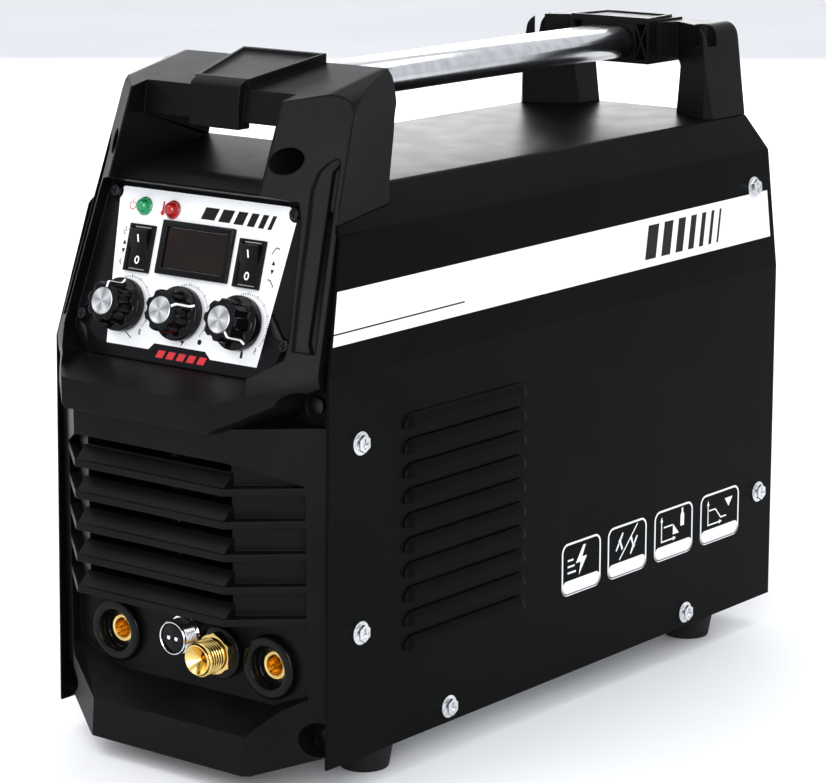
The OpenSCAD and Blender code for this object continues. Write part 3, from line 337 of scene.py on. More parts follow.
FINISH = {
    "powder_coat": powder_coat(),
    "moulding": moulding(),
    "gloss_black": gloss_black(),
    "switch_black": gloss_black("switch_black", 0.26),
    "switch_red": plastic("switch_red", (0.3, 0.012, 0.01), (0.42, 0.02, 0.016), 0.18, 0.28),
    "rubber": rubber(),
    "hose": plastic("hose", (0.012, 0.012, 0.012), (0.02, 0.02, 0.02), 0.45, 0.6),
    "galvanised": metal("galvanised", (0.42, 0.43, 0.45), (0.62, 0.63, 0.65), 0.3, 0.5, 120),
    "zinc": metal("zinc", (0.62, 0.63, 0.65), (0.8, 0.81, 0.83), 0.16, 0.3, 500),
    "black_screw": metal("black_screw", (0.02, 0.02, 0.02), (0.045, 0.045, 0.05), 0.3, 0.5, 700),
    "tube": metal("tube", (0.5, 0.51, 0.52), (0.64, 0.65, 0.66), 0.12, 0.3, 700, (1, 0.015, 1), 0.000006),
    "cap_aluminium": metal("cap_aluminium", (0.7, 0.71, 0.72), (0.86, 0.87, 0.88), 0.2, 0.3, 800),
    "brass": metal("brass", (0.68, 0.46, 0.13), (0.86, 0.63, 0.24), 0.12, 0.24, 700),
    "chrome": metal("chrome", (0.66, 0.67, 0.69), (0.84, 0.85, 0.87), 0.05, 0.12, 500),
    "copper": metal("copper", (0.5, 0.2, 0.1), (0.75, 0.36, 0.2), 0.3, 0.45, 300),
    "heatsink": metal("heatsink", (0.45, 0.46, 0.48), (0.62, 0.63, 0.65), 0.3, 0.45, 400, (1, 0.05, 1)),
    "print_white": plastic("print_white", (0.8, 0.81, 0.82), (0.85, 0.86, 0.87), 0.3, 0.42, 0.25),
    "print_black": plastic("print_black", (0.005, 0.005, 0.005), (0.008, 0.008, 0.008), 0.3, 0.42, 0.15),
    "print_red": plastic("print_red", (0.5, 0.015, 0.02), (0.62, 0.02, 0.03), 0.3, 0.42),
    "spun_cap": spun_cap(),
    "panel_print": plastic("panel_black", (0.003, 0.003, 0.0034), (0.005, 0.005, 0.0055), 0.22, 0.32, 0.1),
    "led_green": lens("led_green", (0.0, 0.12, 0.04), (0.02, 0.55, 0.2)),
    "led_red": lens("led_red", (0.16, 0.0, 0.0), (0.7, 0.02, 0.02)),
    "window": smoked_filter(),
    "board": plastic("board", (0.01, 0.09, 0.04), (0.02, 0.14, 0.06), 0.3, 0.4),
    "component": plastic("component", (0.02, 0.02, 0.022), (0.035, 0.035, 0.038)),
    "core": plastic("core", (0.12, 0.1, 0.08), (0.22, 0.19, 0.15)),
    "sleeve": plastic("sleeve", (0.02, 0.03, 0.1), (0.04, 0.05, 0.16), 0.25, 0.35),
}
NODE_SLOT = {part["node"]: part["material_slot"] for part in frame["record"]["subparts"]}


# ---------------------------------------------------------------- mesh builders, in millimetres

SMOOTH_UP_TO = 35           # degrees between faces that shade as one surface


def finished(name, bm, finish, body, replaces=(), matrix=None, scale=MM):
    """Turns a bmesh into a piece: normals outwards, smooth-shaded, with its finish, riding on a body."""
    bmesh.ops.recalc_face_normals(bm, faces=bm.faces)
    bmesh.ops.scale(bm, vec=(scale, scale, scale), verts=bm.verts)
    mesh = bpy.data.meshes.new(name)
    bm.to_mesh(mesh)
    bm.free()
    piece = bpy.data.objects.new(name, mesh)
    scene.collection.objects.link(piece)
    if matrix is not None:
        piece.matrix_world = matrix
    mesh.materials.append(finish)
    smooth_by_angle(mesh)
    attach(piece, body)
    if replaces:
        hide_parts(*replaces)
    return piece


def smooth_by_angle(mesh):
    for polygon in mesh.polygons:
        polygon.use_smooth = True
    mesh.set_sharp_from_angle(angle=math.radians(SMOOTH_UP_TO))


def place(x, y, z, turn=None):
    """Matrix of a frame at a point of the case, given in millimetres from the cover's bottom edge."""
    shift = Matrix.Translation((x * MM, y * MM, (z + FOOT) * MM))
    return shift @ turn if turn is not None else shift


def on_plate(x, s, n=0):
    """Frame on the control plate: x across, y up the slope, z out of the plate."""
    lean = Matrix.Rotation(math.radians(90 - PLATE_TILT), 4, "X")
    return place(0, PLATE_Y, PLATE_Z) @ lean @ Matrix.Translation((x * MM, -s * MM, n * MM))


def facing_front(x, y, z):
    """Frame whose z points out of the front and whose y points up."""
    return place(x, y, z, Matrix.Rotation(math.radians(90), 4, "X"))


def loft(bm, rings, closed=False):
    """Skin through rings with the same number of points, capped at both ends or joined round."""
    made = [[bm.verts.new(point) for point in ring] for ring in rings]
    count = len(rings[0])
    pairs = list(zip(made, made[1:]))
    if closed:
        pairs.append((made[-1], made[0]))
    else:
        bm.faces.new(made[0])
        bm.faces.new(made[-1])
    for low, high in pairs:
        for i in range(count):
            bm.faces.new((low[i], low[(i + 1) % count], high[(i + 1) % count], high[i]))


def circle(radius, z, count=96):
    """Ring at height z. radius is a number or a function of the angle."""
    points = []
    for i in range(count):
        angle = i * math.tau / count
        r = radius(angle) if callable(radius) else radius
        points.append((r * math.cos(angle), r * math.sin(angle), z))
    return points


def lathe(bm, profile, count=96):
    """Closed ring-shaped solid turned from a closed outline of (radius, z)."""
    loft(bm, [circle(r, z, count) for r, z in profile], closed=True)


def prism(bm, outline, low, high):
    """Solid between two heights over an outline in x and y."""
    loft(bm, [[(x, y, low) for x, y in outline], [(x, y, high) for x, y in outline]])


def frame_prism(bm, outer, inner, low, high):
    """Solid between an outer and an inner outline with the same number of points."""
    loft(bm, [[(x, y, low) for x, y in outer], [(x, y, high) for x, y in outer],
              [(x, y, high) for x, y in inner], [(x, y, low) for x, y in inner]], closed=True)


def rounded_rect(x0, x1, y0, y1, radius, steps=6):
    points = []
    for cx, cy, start in ((x1 - radius, y1 - radius, 0), (x0 + radius, y1 - radius, 90),
                          (x0 + radius, y0 + radius, 180), (x1 - radius, y0 + radius, 270)):
        for k in range(steps + 1):
            angle = math.radians(start + 90 * k / steps)
            points.append((cx + radius * math.cos(angle), cy + radius * math.sin(angle)))
    return points


def oval(rx, ry, count=40, center=(0, 0)):
    return [(center[0] + rx * math.cos(i * math.tau / count), center[1] + ry * math.sin(i * math.tau / count))
            for i in range(count)]


def arc(cx, cy, r, start, end, steps):
    return [(cx + r * math.cos(math.radians(start + (end - start) * k / steps)),
             cy + r * math.sin(math.radians(start + (end - start) * k / steps))) for k in range(steps + 1)]


def stroke(points, width):
    """Outline of a line of even width through points, mitred at its corners."""
    left, right = [], []
    for i, point in enumerate(points):
        here = Vector(point)
        before = (here - Vector(points[i - 1])).normalized() if i else None
        after = (Vector(points[i + 1]) - here).normalized() if i + 1 < len(points) else None
        along = ((before or after) + (after or before)).normalized()
        side = Vector((-along.y, along.x))
        reach = width / 2 / max(0.5, along.dot(before or after))
        left.append(tuple(here + side * reach))
        right.append(tuple(here - side * reach))
    return left + right[::-1]


def softened(bm, width):
    """Rounds the edges sharper than 30 degrees of the mesh so far."""
    edges = [e for e in bm.edges if e.is_manifold and e.calc_face_angle() > math.radians(30)]
    bmesh.ops.bevel(bm, geom=edges, offset=width, segments=2, profile=0.5, affect="EDGES",
                    clamp_overlap=True)


# ---------------------------------------------------------------- mouldings

FARTHEST = 0.45             # how far a bevel may lie off the surface, over its radius
SLIVER = 2e-9               # a triangle whose normal is shorter, in square metres, is too thin to judge
SHARP = 22                  # degrees from which an edge is rounded
KEEP = 0.4                  # share of a face or an edge that one bevel may take
ROUNDS = 14                 # most times that the bevels are made smaller at faults


def edge_turn(edge, vert):
    """How far the sharp edge bends away, at vert, from its straightest sharp neighbour."""
    here = (edge.other_vert(vert).co - vert.co).normalized()
    others = [(e.other_vert(vert).co - vert.co).normalized() for e in vert.link_edges
              if e is not edge and e.tag]
    return min((math.pi - here.angle(other) for other in others), default=math.pi)


def bevel_faults(mesh, surface, radius):
    """Points where a bevelled mesh folds over or leaves the surface that it came from."""
    bm = bmesh.new()
    bm.from_mesh(mesh)
    faults = [v.co.copy() for v in bm.verts if surface.find_nearest(v.co)[3] > FARTHEST * radius]
    for triangle in bm.calc_loop_triangles():
        a, b, c = (loop.vert.co for loop in triangle)
        normal = (b - a).cross(c - a)
        if normal.length < SLIVER:
            continue
        center = (a + b + c) / 3
        if surface.find_nearest(center)[1].dot(normal.normalized()) < -0.1:
            longest = max((a - b).length, (b - c).length, (c - a).length)
            faults += [a.copy(), b.copy(), c.copy()] if longest > 4 * radius else [center]
    bm.free()
    return faults


def rounded_from_cad(name, node, radius, hidden=None):
    """Copy of a CAD node with its edges rounded, each as far as the faces beside it allow.

    hidden(point) is true where the case covers an edge, which then stays sharp.
    """
    bm = bmesh.new()
    bm.from_mesh(nodes[node].data)
    bmesh.ops.remove_doubles(bm, verts=bm.verts, dist=0.004 * MM)
    bm.normal_update()
    surface = BVHTree.FromBMesh(bm)
    bmesh.ops.dissolve_limit(bm, angle_limit=math.radians(0.8), verts=bm.verts, edges=bm.edges)
    for edge in bm.edges:
        edge.tag = edge.is_manifold and edge.calc_face_angle() > math.radians(SHARP)
    room = {}
    for vert in bm.verts:
        limit = radius
        for edge in vert.link_edges:
            if not edge.tag or edge_turn(edge, vert) > math.radians(30):
                limit = min(limit, KEEP * edge.calc_length())
        room[vert] = limit
    weight = bm.edges.layers.float.new("bevel_weight_edge")
    for edge in bm.edges:
        middle = (edge.verts[0].co + edge.verts[1].co) / 2
        if edge.tag and not (hidden and hidden(middle)):
            strips = [KEEP * face.calc_area() / max(edge.calc_length(), 1e-6) for face in edge.link_faces]
            edge[weight] = min([room[v] for v in edge.verts] + strips + [radius]) / radius
    slot = NODE_SLOT[node]
    piece = finished(name, bm, FINISH[slot], nodes[node]["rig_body"], (node,), scale=1)
    base = piece.data
    for _ in range(ROUNDS):
        bevel = piece.modifiers.new("rounding", "BEVEL")
        bevel.limit_method = "WEIGHT"
        bevel.width = radius
        bevel.segments = 3
        bevel.use_clamp_overlap = False
        bpy.context.view_layer.update()
        evaluated = piece.evaluated_get(bpy.context.evaluated_depsgraph_get())
        done = bpy.data.meshes.new_from_object(evaluated)
        piece.modifiers.clear()
        faults = bevel_faults(done, surface, radius)
        if not faults:
            break
        near = KDTree(len(faults))
        for i, point in enumerate(faults):
            near.insert(point, i)
        near.balance()
        weights = base.attributes["bevel_weight_edge"].data
        for edge in base.edges:
            a, b = (base.vertices[i].co for i in edge.vertices)
            steps = max(1, int((b - a).length / radius))
            nearest = min(near.find(a.lerp(b, k / steps))[2] for k in range(steps + 1))
            if weights[edge.index].value and nearest < 2.2 * radius:
                weights[edge.index].value *= 0.5
    piece.data = done
    smooth_by_angle(done)
    even = piece.modifiers.new("flat faces", "WEIGHTED_NORMAL")
    even.keep_sharp = True
    return piece


# ---------------------------------------------------------------- cover

COVER_HALF = [(HALF_WIDTH, 0), (HALF_WIDTH, BEND_Z), (HALF_WIDTH - TAPER_IN, BEND_Z + TAPER_RISE),
              (59.3, 245.5)]
COVER_BENDS = [None, 9, 3, 3]
EDGE_Z = 159                # above this the front edge leans back
EDGE_LEAN = 0.272
TAPER = math.atan2(TAPER_IN, TAPER_RISE)


def taper_x(z):
    """Half width of the tapered part of the sides at height z."""
    return HALF_WIDTH - (z - BEND_Z) * TAPER_IN / TAPER_RISE


def front_edge(z):
    """Place along the case of the cover's front edge at height z."""
    return -HALF_LENGTH + max(0, z - EDGE_Z) * EDGE_LEAN


def bent(points, bends, steps=6):
    """Half of the cover's section with its bends rounded."""
    full = points + [(-points[-1][0], points[-1][1])]
    made = [points[0]]
    for i in range(1, len(points)):
        corner = Vector(full[i])
        back = (Vector(full[i - 1]) - corner).normalized()
        ahead = (Vector(full[i + 1]) - corner).normalized()
        half = back.angle(ahead) / 2
        run = bends[i] / math.tan(half)
        center = corner + (back + ahead).normalized() * (bends[i] / math.sin(half))
        start, end = corner + back * run - center, corner + ahead * run - center
        for k in range(steps + 1):
            made.append(tuple(center + bends[i] * start.slerp(end, k / steps)))
    return made


def inwards(points, distance):
    """The same outline moved towards the inside of the cover."""
    moved = []
    for i, point in enumerate(points):
        ahead = Vector(points[min(i + 1, len(points) - 1)]) - Vector(points[max(i - 1, 0)])
        side = Vector((-ahead.y, ahead.x)).normalized()
        if i == 0:
            side = Vector((-1, 0))
        moved.append(tuple(Vector(point) + side * distance))
    return moved


def both_halves(half):
    return half + [(-x, z) for x, z in reversed(half)]


def louvre(bm, side, z0):
    """Hood pressed out of the sheet: open below, domed at both ends."""
    front, length = -124, 89
    rise, top, lip, end = 2.9, 4.6, -1.8, 5.5
    stations = [end * (1 - math.cos(math.radians(6 + 84 * k / 9))) for k in range(10)]
    stations = stations + [length / 2] + [length - t for t in reversed(stations)]
    rings = []
    for t in stations:
        near = min(t, length - t) / end
        lift = math.sqrt(max(0, 1 - (1 - min(1, near)) ** 2))
        outer = []
        inner = []
        for k in range(9):
            turn = math.radians(90 * k / 8)
            outer.append((rise * lift * math.sin(turn), lip + (top - lip) * lift * math.cos(turn)))
            inner.append(((rise * lift - 0.7 * lift) * math.sin(turn) - 0.4,
                          lip + max(0.1, top - lip - 1.2) * lift * math.cos(turn)))
        ring = outer + inner[::-1]
        rings.append([(side * (HALF_WIDTH + x), front + t, z0 + z) for x, z in ring])
    loft(bm, rings)


def make_cover():
    bm = bmesh.new()
    outer = both_halves(bent(COVER_HALF, COVER_BENDS))
    inner = both_halves(inwards(bent(COVER_HALF, COVER_BENDS), SHEET))
    soft = 0.25
    rows = []
    # outside, front to rear, then back along the inside
    for k in range(13):
        along = [front_edge(z) + soft + k / 12 * (HALF_LENGTH - 2 * soft - front_edge(z)) for x, z in outer]
        rows.append([(x, y, z) for y, (x, z) in zip(along, outer)])
    near = [(a[0] * 0.85 + b[0] * 0.15, a[1] * 0.85 + b[1] * 0.15) for a, b in zip(outer, inner)]
    rows.append([(x, HALF_LENGTH, z) for x, z in near])
    rows.append([(x, HALF_LENGTH, z) for x, z in inner])
    rows.append([(x, front_edge(z), z) for x, z in inner])
    rows.append([(x, front_edge(z), z) for x, z in near])
    strip(bm, rows)
    for side in (-1, 1):
        for k in range(10):
            louvre(bm, side, 43 + 11.1 * k)
    finished("cover_shell", bm, FINISH["powder_coat"], BODY, ("cover",), place(0, 0, 0))


def strip(bm, rows):
    """Closed skin through open rows that go once round a bent sheet."""
    made = [[bm.verts.new(point) for point in row] for row in rows]
    count = len(rows[0])
    for low, high in zip(made, made[1:] + made[:1]):
        for i in range(count - 1):
            bm.faces.new((low[i], low[i + 1], high[i + 1], high[i]))
    bm.faces.new([row[0] for row in made])
    bm.faces.new([row[-1] for row in made])


# ---------------------------------------------------------------- prints on the sides

PRINT = 0.07                # top of a printed film above its sheet
INK = (0.02, PRINT + 0.03)  # bottom and top of what is printed on a film


def printed(name, finish, shapes, matrix, low=0.01, high=PRINT, body=None, slot="panel_print"):
    """Flat outlines, and (outer, inner) pairs of outlines, as one thin film."""
    bm = bmesh.new()
    for shape in shapes:
        if isinstance(shape[0][0], tuple):
            frame_prism(bm, shape[0], shape[1], low, high)
        else:
            prism(bm, shape, low, high)
    return finished(name, bm, finish, body or BODY, matrix=matrix)


def side_frame(side, z=None):
    """Frame on a side of the case: x along the case towards the viewer's right, y up, z outwards.

    With a height z the frame lies on the tapered part, its origin at that height.
    """
    if z is None:
        base = place(side * HALF_WIDTH, 0, 0)
        lean = 0
    else:
        base = place(side * taper_x(z), 0, z)
        lean = TAPER
    turn = Matrix.Rotation(math.radians(90 * side), 4, "Z") @ Matrix.Rotation(math.radians(90) - lean, 4, "X")
    return base @ turn


STRIPE_LOW = 184            # height of the stripe's lower front corner
STRIPE_HIGH = 206.5
STRIPE_END = 172.5


def stripe_low(y):
    return STRIPE_LOW + 2 * (y + 170) / 342


def stripe_high(y):
    return STRIPE_HIGH + 2.5 * (y + 165) / 337


def make_stripes():
    """White stripe along each side, with plain slanted bars and a thin line on it."""
    rise = 1 / math.cos(TAPER)
    lean = 5.2
    for side, label in ((1, "right"), (-1, "left")):
        def flat(y, z):
            """Point of the stripe from distance along the case and height."""
            return (side * y, (z - STRIPE_LOW) * rise)
        start_low, start_high = front_edge(STRIPE_LOW) + 0.5, front_edge(STRIPE_HIGH) + 0.5
        band = [flat(start_low, STRIPE_LOW), flat(STRIPE_END, stripe_low(STRIPE_END)),
                flat(STRIPE_END, stripe_high(STRIPE_END)), flat(start_high, STRIPE_HIGH)]
        mark = []
        y = 62.0
        for width in (9.0, 7.6, 6.2, 4.9, 3.7, 2.6, 1.7):
            bottom, top = stripe_low(y) + 3.6, stripe_high(y) - 3.4
            mark.append([flat(y, bottom), flat(y + width, bottom),
                         flat(y + width + lean, top), flat(y + lean, top)])
            y += width + 4.6
        line = [[flat(start_low + 1, 188.6), flat(-78, 189.6), flat(-78, 190.3), flat(start_low + 1, 189.3)]]
        frame_here = side_frame(side, STRIPE_LOW)
        printed("stripe_" + label, FINISH["print_white"], [band], frame_here)
        printed("stripe_mark_" + label, FINISH["print_black"], mark + line, frame_here, *INK)


def bolt_icon(x, y, size):
    """Flash with its middle at (x, y)."""
    shape = [(0.1, 0.5), (-0.32, -0.06), (-0.04, -0.06), (-0.14, -0.5), (0.32, 0.1), (0.04, 0.1), (0.24, 0.5)]
    return [(x + size * px, y + size * py) for px, py in shape]


def axes_icon(x, y, size):
    """Pair of axes with arrow heads."""
    return [stroke([(x, y + size), (x, y), (x + size, y)], 0.7),
            [(x - 1.1, y + size), (x + 1.1, y + size), (x, y + size + 2.6)],
            [(x + size, y - 1.1), (x + size + 2.6, y), (x + size, y + 1.1)]]


def bottle_icon(x, y, size):
    """Gas bottle that stands at (x, y)."""
    w = size * 0.17
    return [(x - w, y), (x + w, y), (x + w, y + size * 0.62), (x + w * 0.45, y + size * 0.78),
            (x + w * 0.45, y + size), (x - w * 0.45, y + size), (x - w * 0.45, y + size * 0.78),
            (x - w, y + size * 0.62)]


def torch_icon(x, y, turn, size):
    """Welding torch: tip, cup, head and handle."""
    spin = Matrix.Rotation(math.radians(turn), 2)
    shapes = ([(-0.08, 0.95), (0.08, 0.95), (0.14, 0.3), (-0.14, 0.3)],
              [(-0.2, 0.25), (0.2, 0.25), (0.16, -0.12), (-0.16, -0.12)],
              [(-0.12, -0.18), (0.12, -0.18), (0.09, -0.95), (-0.09, -0.95)],
              [(0.2, 0.1), (0.85, -0.25), (0.78, -0.52), (0.17, -0.1)])
    return [[tuple(Vector((x, y)) + size * (spin @ Vector(p))) for p in shape] for shape in shapes]


def make_badges():
    """Four framed icons low on each side: flash, two torches, gas bottle, falling current."""
    spans = ((-5.6, 25.8), (31.7, 64.2), (71, 104.4), (111.4, 146.2))
    for side, label in ((1, "right"), (-1, "left")):
        shapes = []
        for k, (y0, y1) in enumerate(spans):
            x0, x1 = (y0, y1) if side > 0 else (-y1, -y0)
            z0, z1 = 38, 63.5
            rim = rounded_rect(x0 + 1, x1 - 1, z0 + 1, z1 - 1, 3.6)
            shapes.append((rounded_rect(x0, x1, z0, z1, 4.6), rim))
            shapes.append(rounded_rect(x0 + 0.6, x1 - 0.6, z0 + 0.5, z0 + 7.2, 3.2))
            cx, cy = (x0 + x1) / 2, 54
            if k == 0:
                shapes += [bolt_icon(cx, cy - 0.5, 14), stroke([(cx - 11, cy - 5), (cx - 4.5, cy - 5)], 0.9),
                           stroke([(cx - 11, cy - 2), (cx - 5.5, cy - 2)], 0.9),
                           stroke([(cx - 11, cy + 1), (cx - 6.5, cy + 1)], 0.9)]
            elif k == 1:
                shapes += [stroke([(cx - 6.5, 46.5), (cx + 8.5, 61.6)], 0.7)]
                shapes += torch_icon(cx - 6.5, cy + 1.4, -35, 5.2) + torch_icon(cx + 5.5, cy - 2.4, 145, 5.2)
            elif k == 2:
                shapes += axes_icon(cx - 10.5, 47.5, 10)
                shapes += [stroke([(cx - 8.5, 54.5), (cx - 1, 54.5)], 0.7),
                           [(cx - 0.6, 49.5), (cx + 4.6, 49.5), (cx - 0.6, 54.9)],
                           bottle_icon(cx + 7.5, 52.5, 9)]
            else:
                shapes += axes_icon(cx - 10.5, 47.5, 10)
                shapes += [stroke([(cx - 9.6, 54.8), (cx - 4, 54.8), (cx + 1, 49.6), (cx + 6, 49.6)], 0.7),
                           [(cx + 4.5, 58.5), (cx + 11.5, 58.5), (cx + 8, 54)]]
        printed("badges_" + label, FINISH["print_white"], shapes, side_frame(side))


# ---------------------------------------------------------------- control panel print

DIGITS = {"0": [[(0, 0), (1, 0), (1, 2), (0, 2), (0, 0)]], "1": [[(0.1, 1.5), (0.6, 2), (0.6, 0)]],
          "2": [[(0, 2), (1, 2), (1, 1), (0, 1), (0, 0), (1, 0)]],
          "4": [[(0.1, 2), (0, 0.8), (1, 0.8)], [(0.8, 2), (0.8, 0)]],
          "8": [[(0, 0), (1, 0), (1, 2), (0, 2), (0, 0)], [(0, 1), (1, 1)]]}


def digit(mark, x, y, height):
    """Strokes of a digit whose lower left corner is at (x, y)."""
    size = height / 2
    return [stroke([(x + px * size * 0.62, y + py * size) for px, py in line], 0.36) for line in DIGITS[mark]]


def scale_arc(x, y):
    """Fine radial ticks from just before twelve o'clock clockwise, every fifth one longer."""
    ticks = []
    for k in range(33):
        turn = math.radians(108 - 4.5 * k)
        major = k % 5 == 4
        half = 0.2 if major else 0.13
        inner, outer = 12.75, 14.1 if major else 13.65
        along = Vector((math.cos(turn), math.sin(turn)))
        side = Vector((-along.y, along.x)) * half
        ticks.append([tuple(Vector((x, y)) + along * r + side * sign)
                      for r, sign in ((inner, -1), (outer, -1), (outer, 1), (inner, 1))])
    return ticks


def make_panel_print():
    """Label of the control plate. Its outline leaves out the corners with the plate's screws."""
    label = arc(-52, -3.2, 3.8, -50, 30, 8)
    label += [(-47.6, -0.6), (47.4, -0.6)]
    label += arc(47.4, -3.1, 2.5, 90, 52, 5)[1:] + arc(52, -3.2, 3.8, 165, 285, 10)
    label += [(52.7, -9), (49.8, -34), (45.4, -70), (18.9, -70), (15.4, -67), (-14.4, -67), (-17.4, -70),
              (-42.3, -70), (-44.8, -50), (-46.9, -31)]
    printed("panel_label", FINISH["print_white"], [label], on_plate(0, 0))

    dark = []
    for x in (-KNOB_X, 0, KNOB_X):
        dark += scale_arc(x, -SCALE_S)
    # arrows beside the switches
    for x in (-42.2, 44.5):
        dark.append([(x - 1.1, -26.1), (x + 1.1, -26.1), (x, -23.9)])
        dark.append([(x - 1.1, -28), (x, -30.2), (x + 1.1, -28)])
    dark += digit("2", -43.4, -21.6, 3) + digit("4", -43.2, -35.5, 3)
    # slopes up and down
    dark += [stroke([(42.6, -21.6), (44.6, -18.6), (46, -18.6), (46.4, -19.4)], 0.55),
             stroke([(42.7, -32.5), (44.1, -32.5), (46.5, -35.3)], 0.55)]
    # ends of the scales
    dark += digit("0", -41.6, -64.3, 2.2) + digit("8", -24.5, -64.3, 2.2)
    dark += digit("1", 25.8, -64.3, 2.2) + digit("2", 42.5, -64.3, 2.2)
    dark += [oval(0.55, 0.55, 16, (-8.7, -63.4)), oval(1.2, 1.2, 20, (11.2, -63.4))]
    dark.append(bolt_icon(1.4, -64.5, 4.4))
    # falling current under the left knob, gas bottle under the right one
    dark += [stroke([(-35.6, -63.8), (-32.6, -63.8), (-28.6, -66.4)], 0.5), bottle_icon(35.8, -67.2, 4)]
    # plain slanted bars where a mark would be
    x = -0.6
    for width in (7.9, 6.6, 5.4, 4.2, 3.2, 2.2):
        foot = -10.7 - 0.02 * x
        dark.append([(x, foot), (x + width, foot), (x + width + 2.1, -5.3), (x + 2.1, -5.3)])
        x += width + 2.2
    printed("panel_icons", FINISH["print_black"], dark, on_plate(0, 0), *INK)

    # power sign, thermometer and five slanted bars
    red = [stroke(arc(-41.2, -8.6, 1.8, 125, 415, 14), 0.42), stroke([(-41.2, -8.3), (-41.2, -5.9)], 0.42),
           oval(1.15, 1.15, 20, (-23.1, -10.3)), stroke([(-23.1, -9.8), (-23.1, -5.2)], 1.0)]
    red += [[(-12.5 + k * 6, -72.9), (-8.4 + k * 6, -72.9), (-6.9 + k * 6, -69.6), (-11 + k * 6, -69.6)]
            for k in range(5)]
    printed("panel_accents", FINISH["print_red"], red, on_plate(0, 0), *INK)


# ---------------------------------------------------------------- knobs

FLUTES = 8


def grip_radius(angle, turn):
    """Radius of the fluted grip: round lobes with a hollow between each pair."""
    base, away, hollow = 9.4, 10.6, 2.5
    step = math.tau / FLUTES
    off = (angle - turn + step / 2) % step - step / 2
    # off is measured from the middle of a lobe
    gap = step / 2 - abs(off)
    reach = hollow * hollow - (away * math.sin(gap)) ** 2
    cut = away * math.cos(gap) - math.sqrt(reach) if reach > 0 else base
    lobe = base - 0.35 * (off / (step / 2)) ** 4
    return -math.log(math.exp(-6 * min(lobe, base)) + math.exp(-6 * cut)) / 6 if reach > 0 else lobe


def make_knob(name, x, turn):
    """Skirted knob with an aluminium cap; turn is how far clockwise its pointer stands from the top."""
    body = nodes[name + "_knob"]["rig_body"]
    frame_here = on_plate(x, KNOB_S) @ Matrix.Rotation(math.radians(-turn), 4, "Z")

    def grip(inset, z):
        return circle(lambda a: grip_radius(a, math.radians(90)) - inset, z, 192)

    bm = bmesh.new()
    rings = [circle(r, z, 192) for r, z in ((2.7, 1.9), (11.2, 1.9), (11.75, 2.1), (11.9, 2.6), (11.9, 5.5),
                                            (11.78, 6.1), (11.4, 6.45), (10.5, 6.7))]
    rings += [grip(-0.7, 7.1), grip(-0.25, 7.5), grip(0, 8.2), grip(0.05, 12), grip(0.12, 15.2),
              grip(0.22, 15.7), grip(0.5, 16.05), grip(0.95, 16.2)]
    rings += [circle(r, z, 192) for r, z in ((6.35, 16.2), (6.12, 16.05), (6.1, 15.6), (2.7, 15.55))]
    loft(bm, rings, closed=True)
    finished(name + "_grip", bm, FINISH["gloss_black"], body, (name + "_knob",), frame_here)

    bm = bmesh.new()
    lathe(bm, [(0.05, 15.62), (5.9, 15.62), (6.0, 15.75), (6.0, 16.5), (5.75, 16.78), (5.4, 16.82),
               (5.25, 16.74), (3, 16.78), (0.05, 16.8)])
    finished(name + "_cap", bm, FINISH["spun_cap"], body, (name + "_knob_cap",), frame_here)

    bm = bmesh.new()
    path = [(6.35, 16.24), (8.5, 16.24), (8.95, 16.1), (9.25, 15.75), (9.34, 15.2), (9.44, 8.3), (9.75, 7.45),
            (10.55, 6.78), (11.45, 6.5)]
    rings = []
    for i, (r, z) in enumerate(path):
        before, after = Vector(path[max(i - 1, 0)]), Vector(path[min(i + 1, len(path) - 1)])
        along = (after - before).normalized()
        out = Vector((-along.y, along.x))
        deep = tuple(Vector((r, z)) - out * 0.5)
        high = tuple(Vector((r, z)) + out * 0.03)
        rings.append([(0.5, *high), (-0.5, *high), (-0.5, *deep), (0.5, *deep)])
    loft(bm, rings)
    finished(name + "_pointer", bm, FINISH["print_white"], body, (), frame_here)


# ---------------------------------------------------------------- switch marks

def make_rocker_marks(prefix, base, radius, size):
    """I on the upper half and O on the lower half of a rocker."""
    body = nodes[prefix + "_switch_rocker"]["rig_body"]
    pivot, middle, end = -1, 2.4, 4.2
    slope = math.atan2(end - middle, radius + 1)
    lean = base @ Matrix.Translation((0, 0, pivot * MM)) @ Matrix.Rotation(math.radians(ROCKER_TILT), 4, "X")
    for mark, sign in (("on", 1), ("off", -1)):
        out = radius * 0.52
        height = middle + (end - middle) * out / (radius + 1)
        shift = Matrix.Translation((0, sign * out * MM, height * MM))
        here = lean @ shift @ Matrix.Rotation(sign * slope, 4, "X")
        if mark == "on":
            shapes = [rounded_rect(-0.11 * size, 0.11 * size, -0.5 * size, 0.5 * size, 0.08 * size, 3)]
        else:
            shapes = [(oval(0.38 * size, 0.5 * size), oval(0.2 * size, 0.32 * size))]
        printed(prefix + "_mark_" + mark, FINISH["print_white"], shapes, here, 0.005, 0.05, body)


# ---------------------------------------------------------------- sockets, fittings and lamps

def screw_thread(minor, depth, pitch, start, end, per_turn=8):
    """Rings of a helical thread along z, fading out at both ends."""
    rings = []
    steps = int((end - start) / pitch * per_turn)
    for k in range(steps + 1):
        z = start + (end - start) * k / steps
        fade = min(1, (z - start) / (0.6 * pitch), (end - z) / (0.6 * pitch))

        def radius(angle):
            phase = ((z - start) / pitch - angle / math.tau) % 1
            ridge = min(1, max(0, 1.45 - abs(phase - 0.5) * 3.4))
            return minor + depth * ridge * fade
        rings.append(circle(radius, z))
    return rings


def hexagon(radius, z):
    """Ring of six points, with two of its sides parallel to y."""
    angles = [math.radians(30 + 60 * k) for k in range(6)]
    return [(radius * math.cos(angle), radius * math.sin(angle), z) for angle in angles]


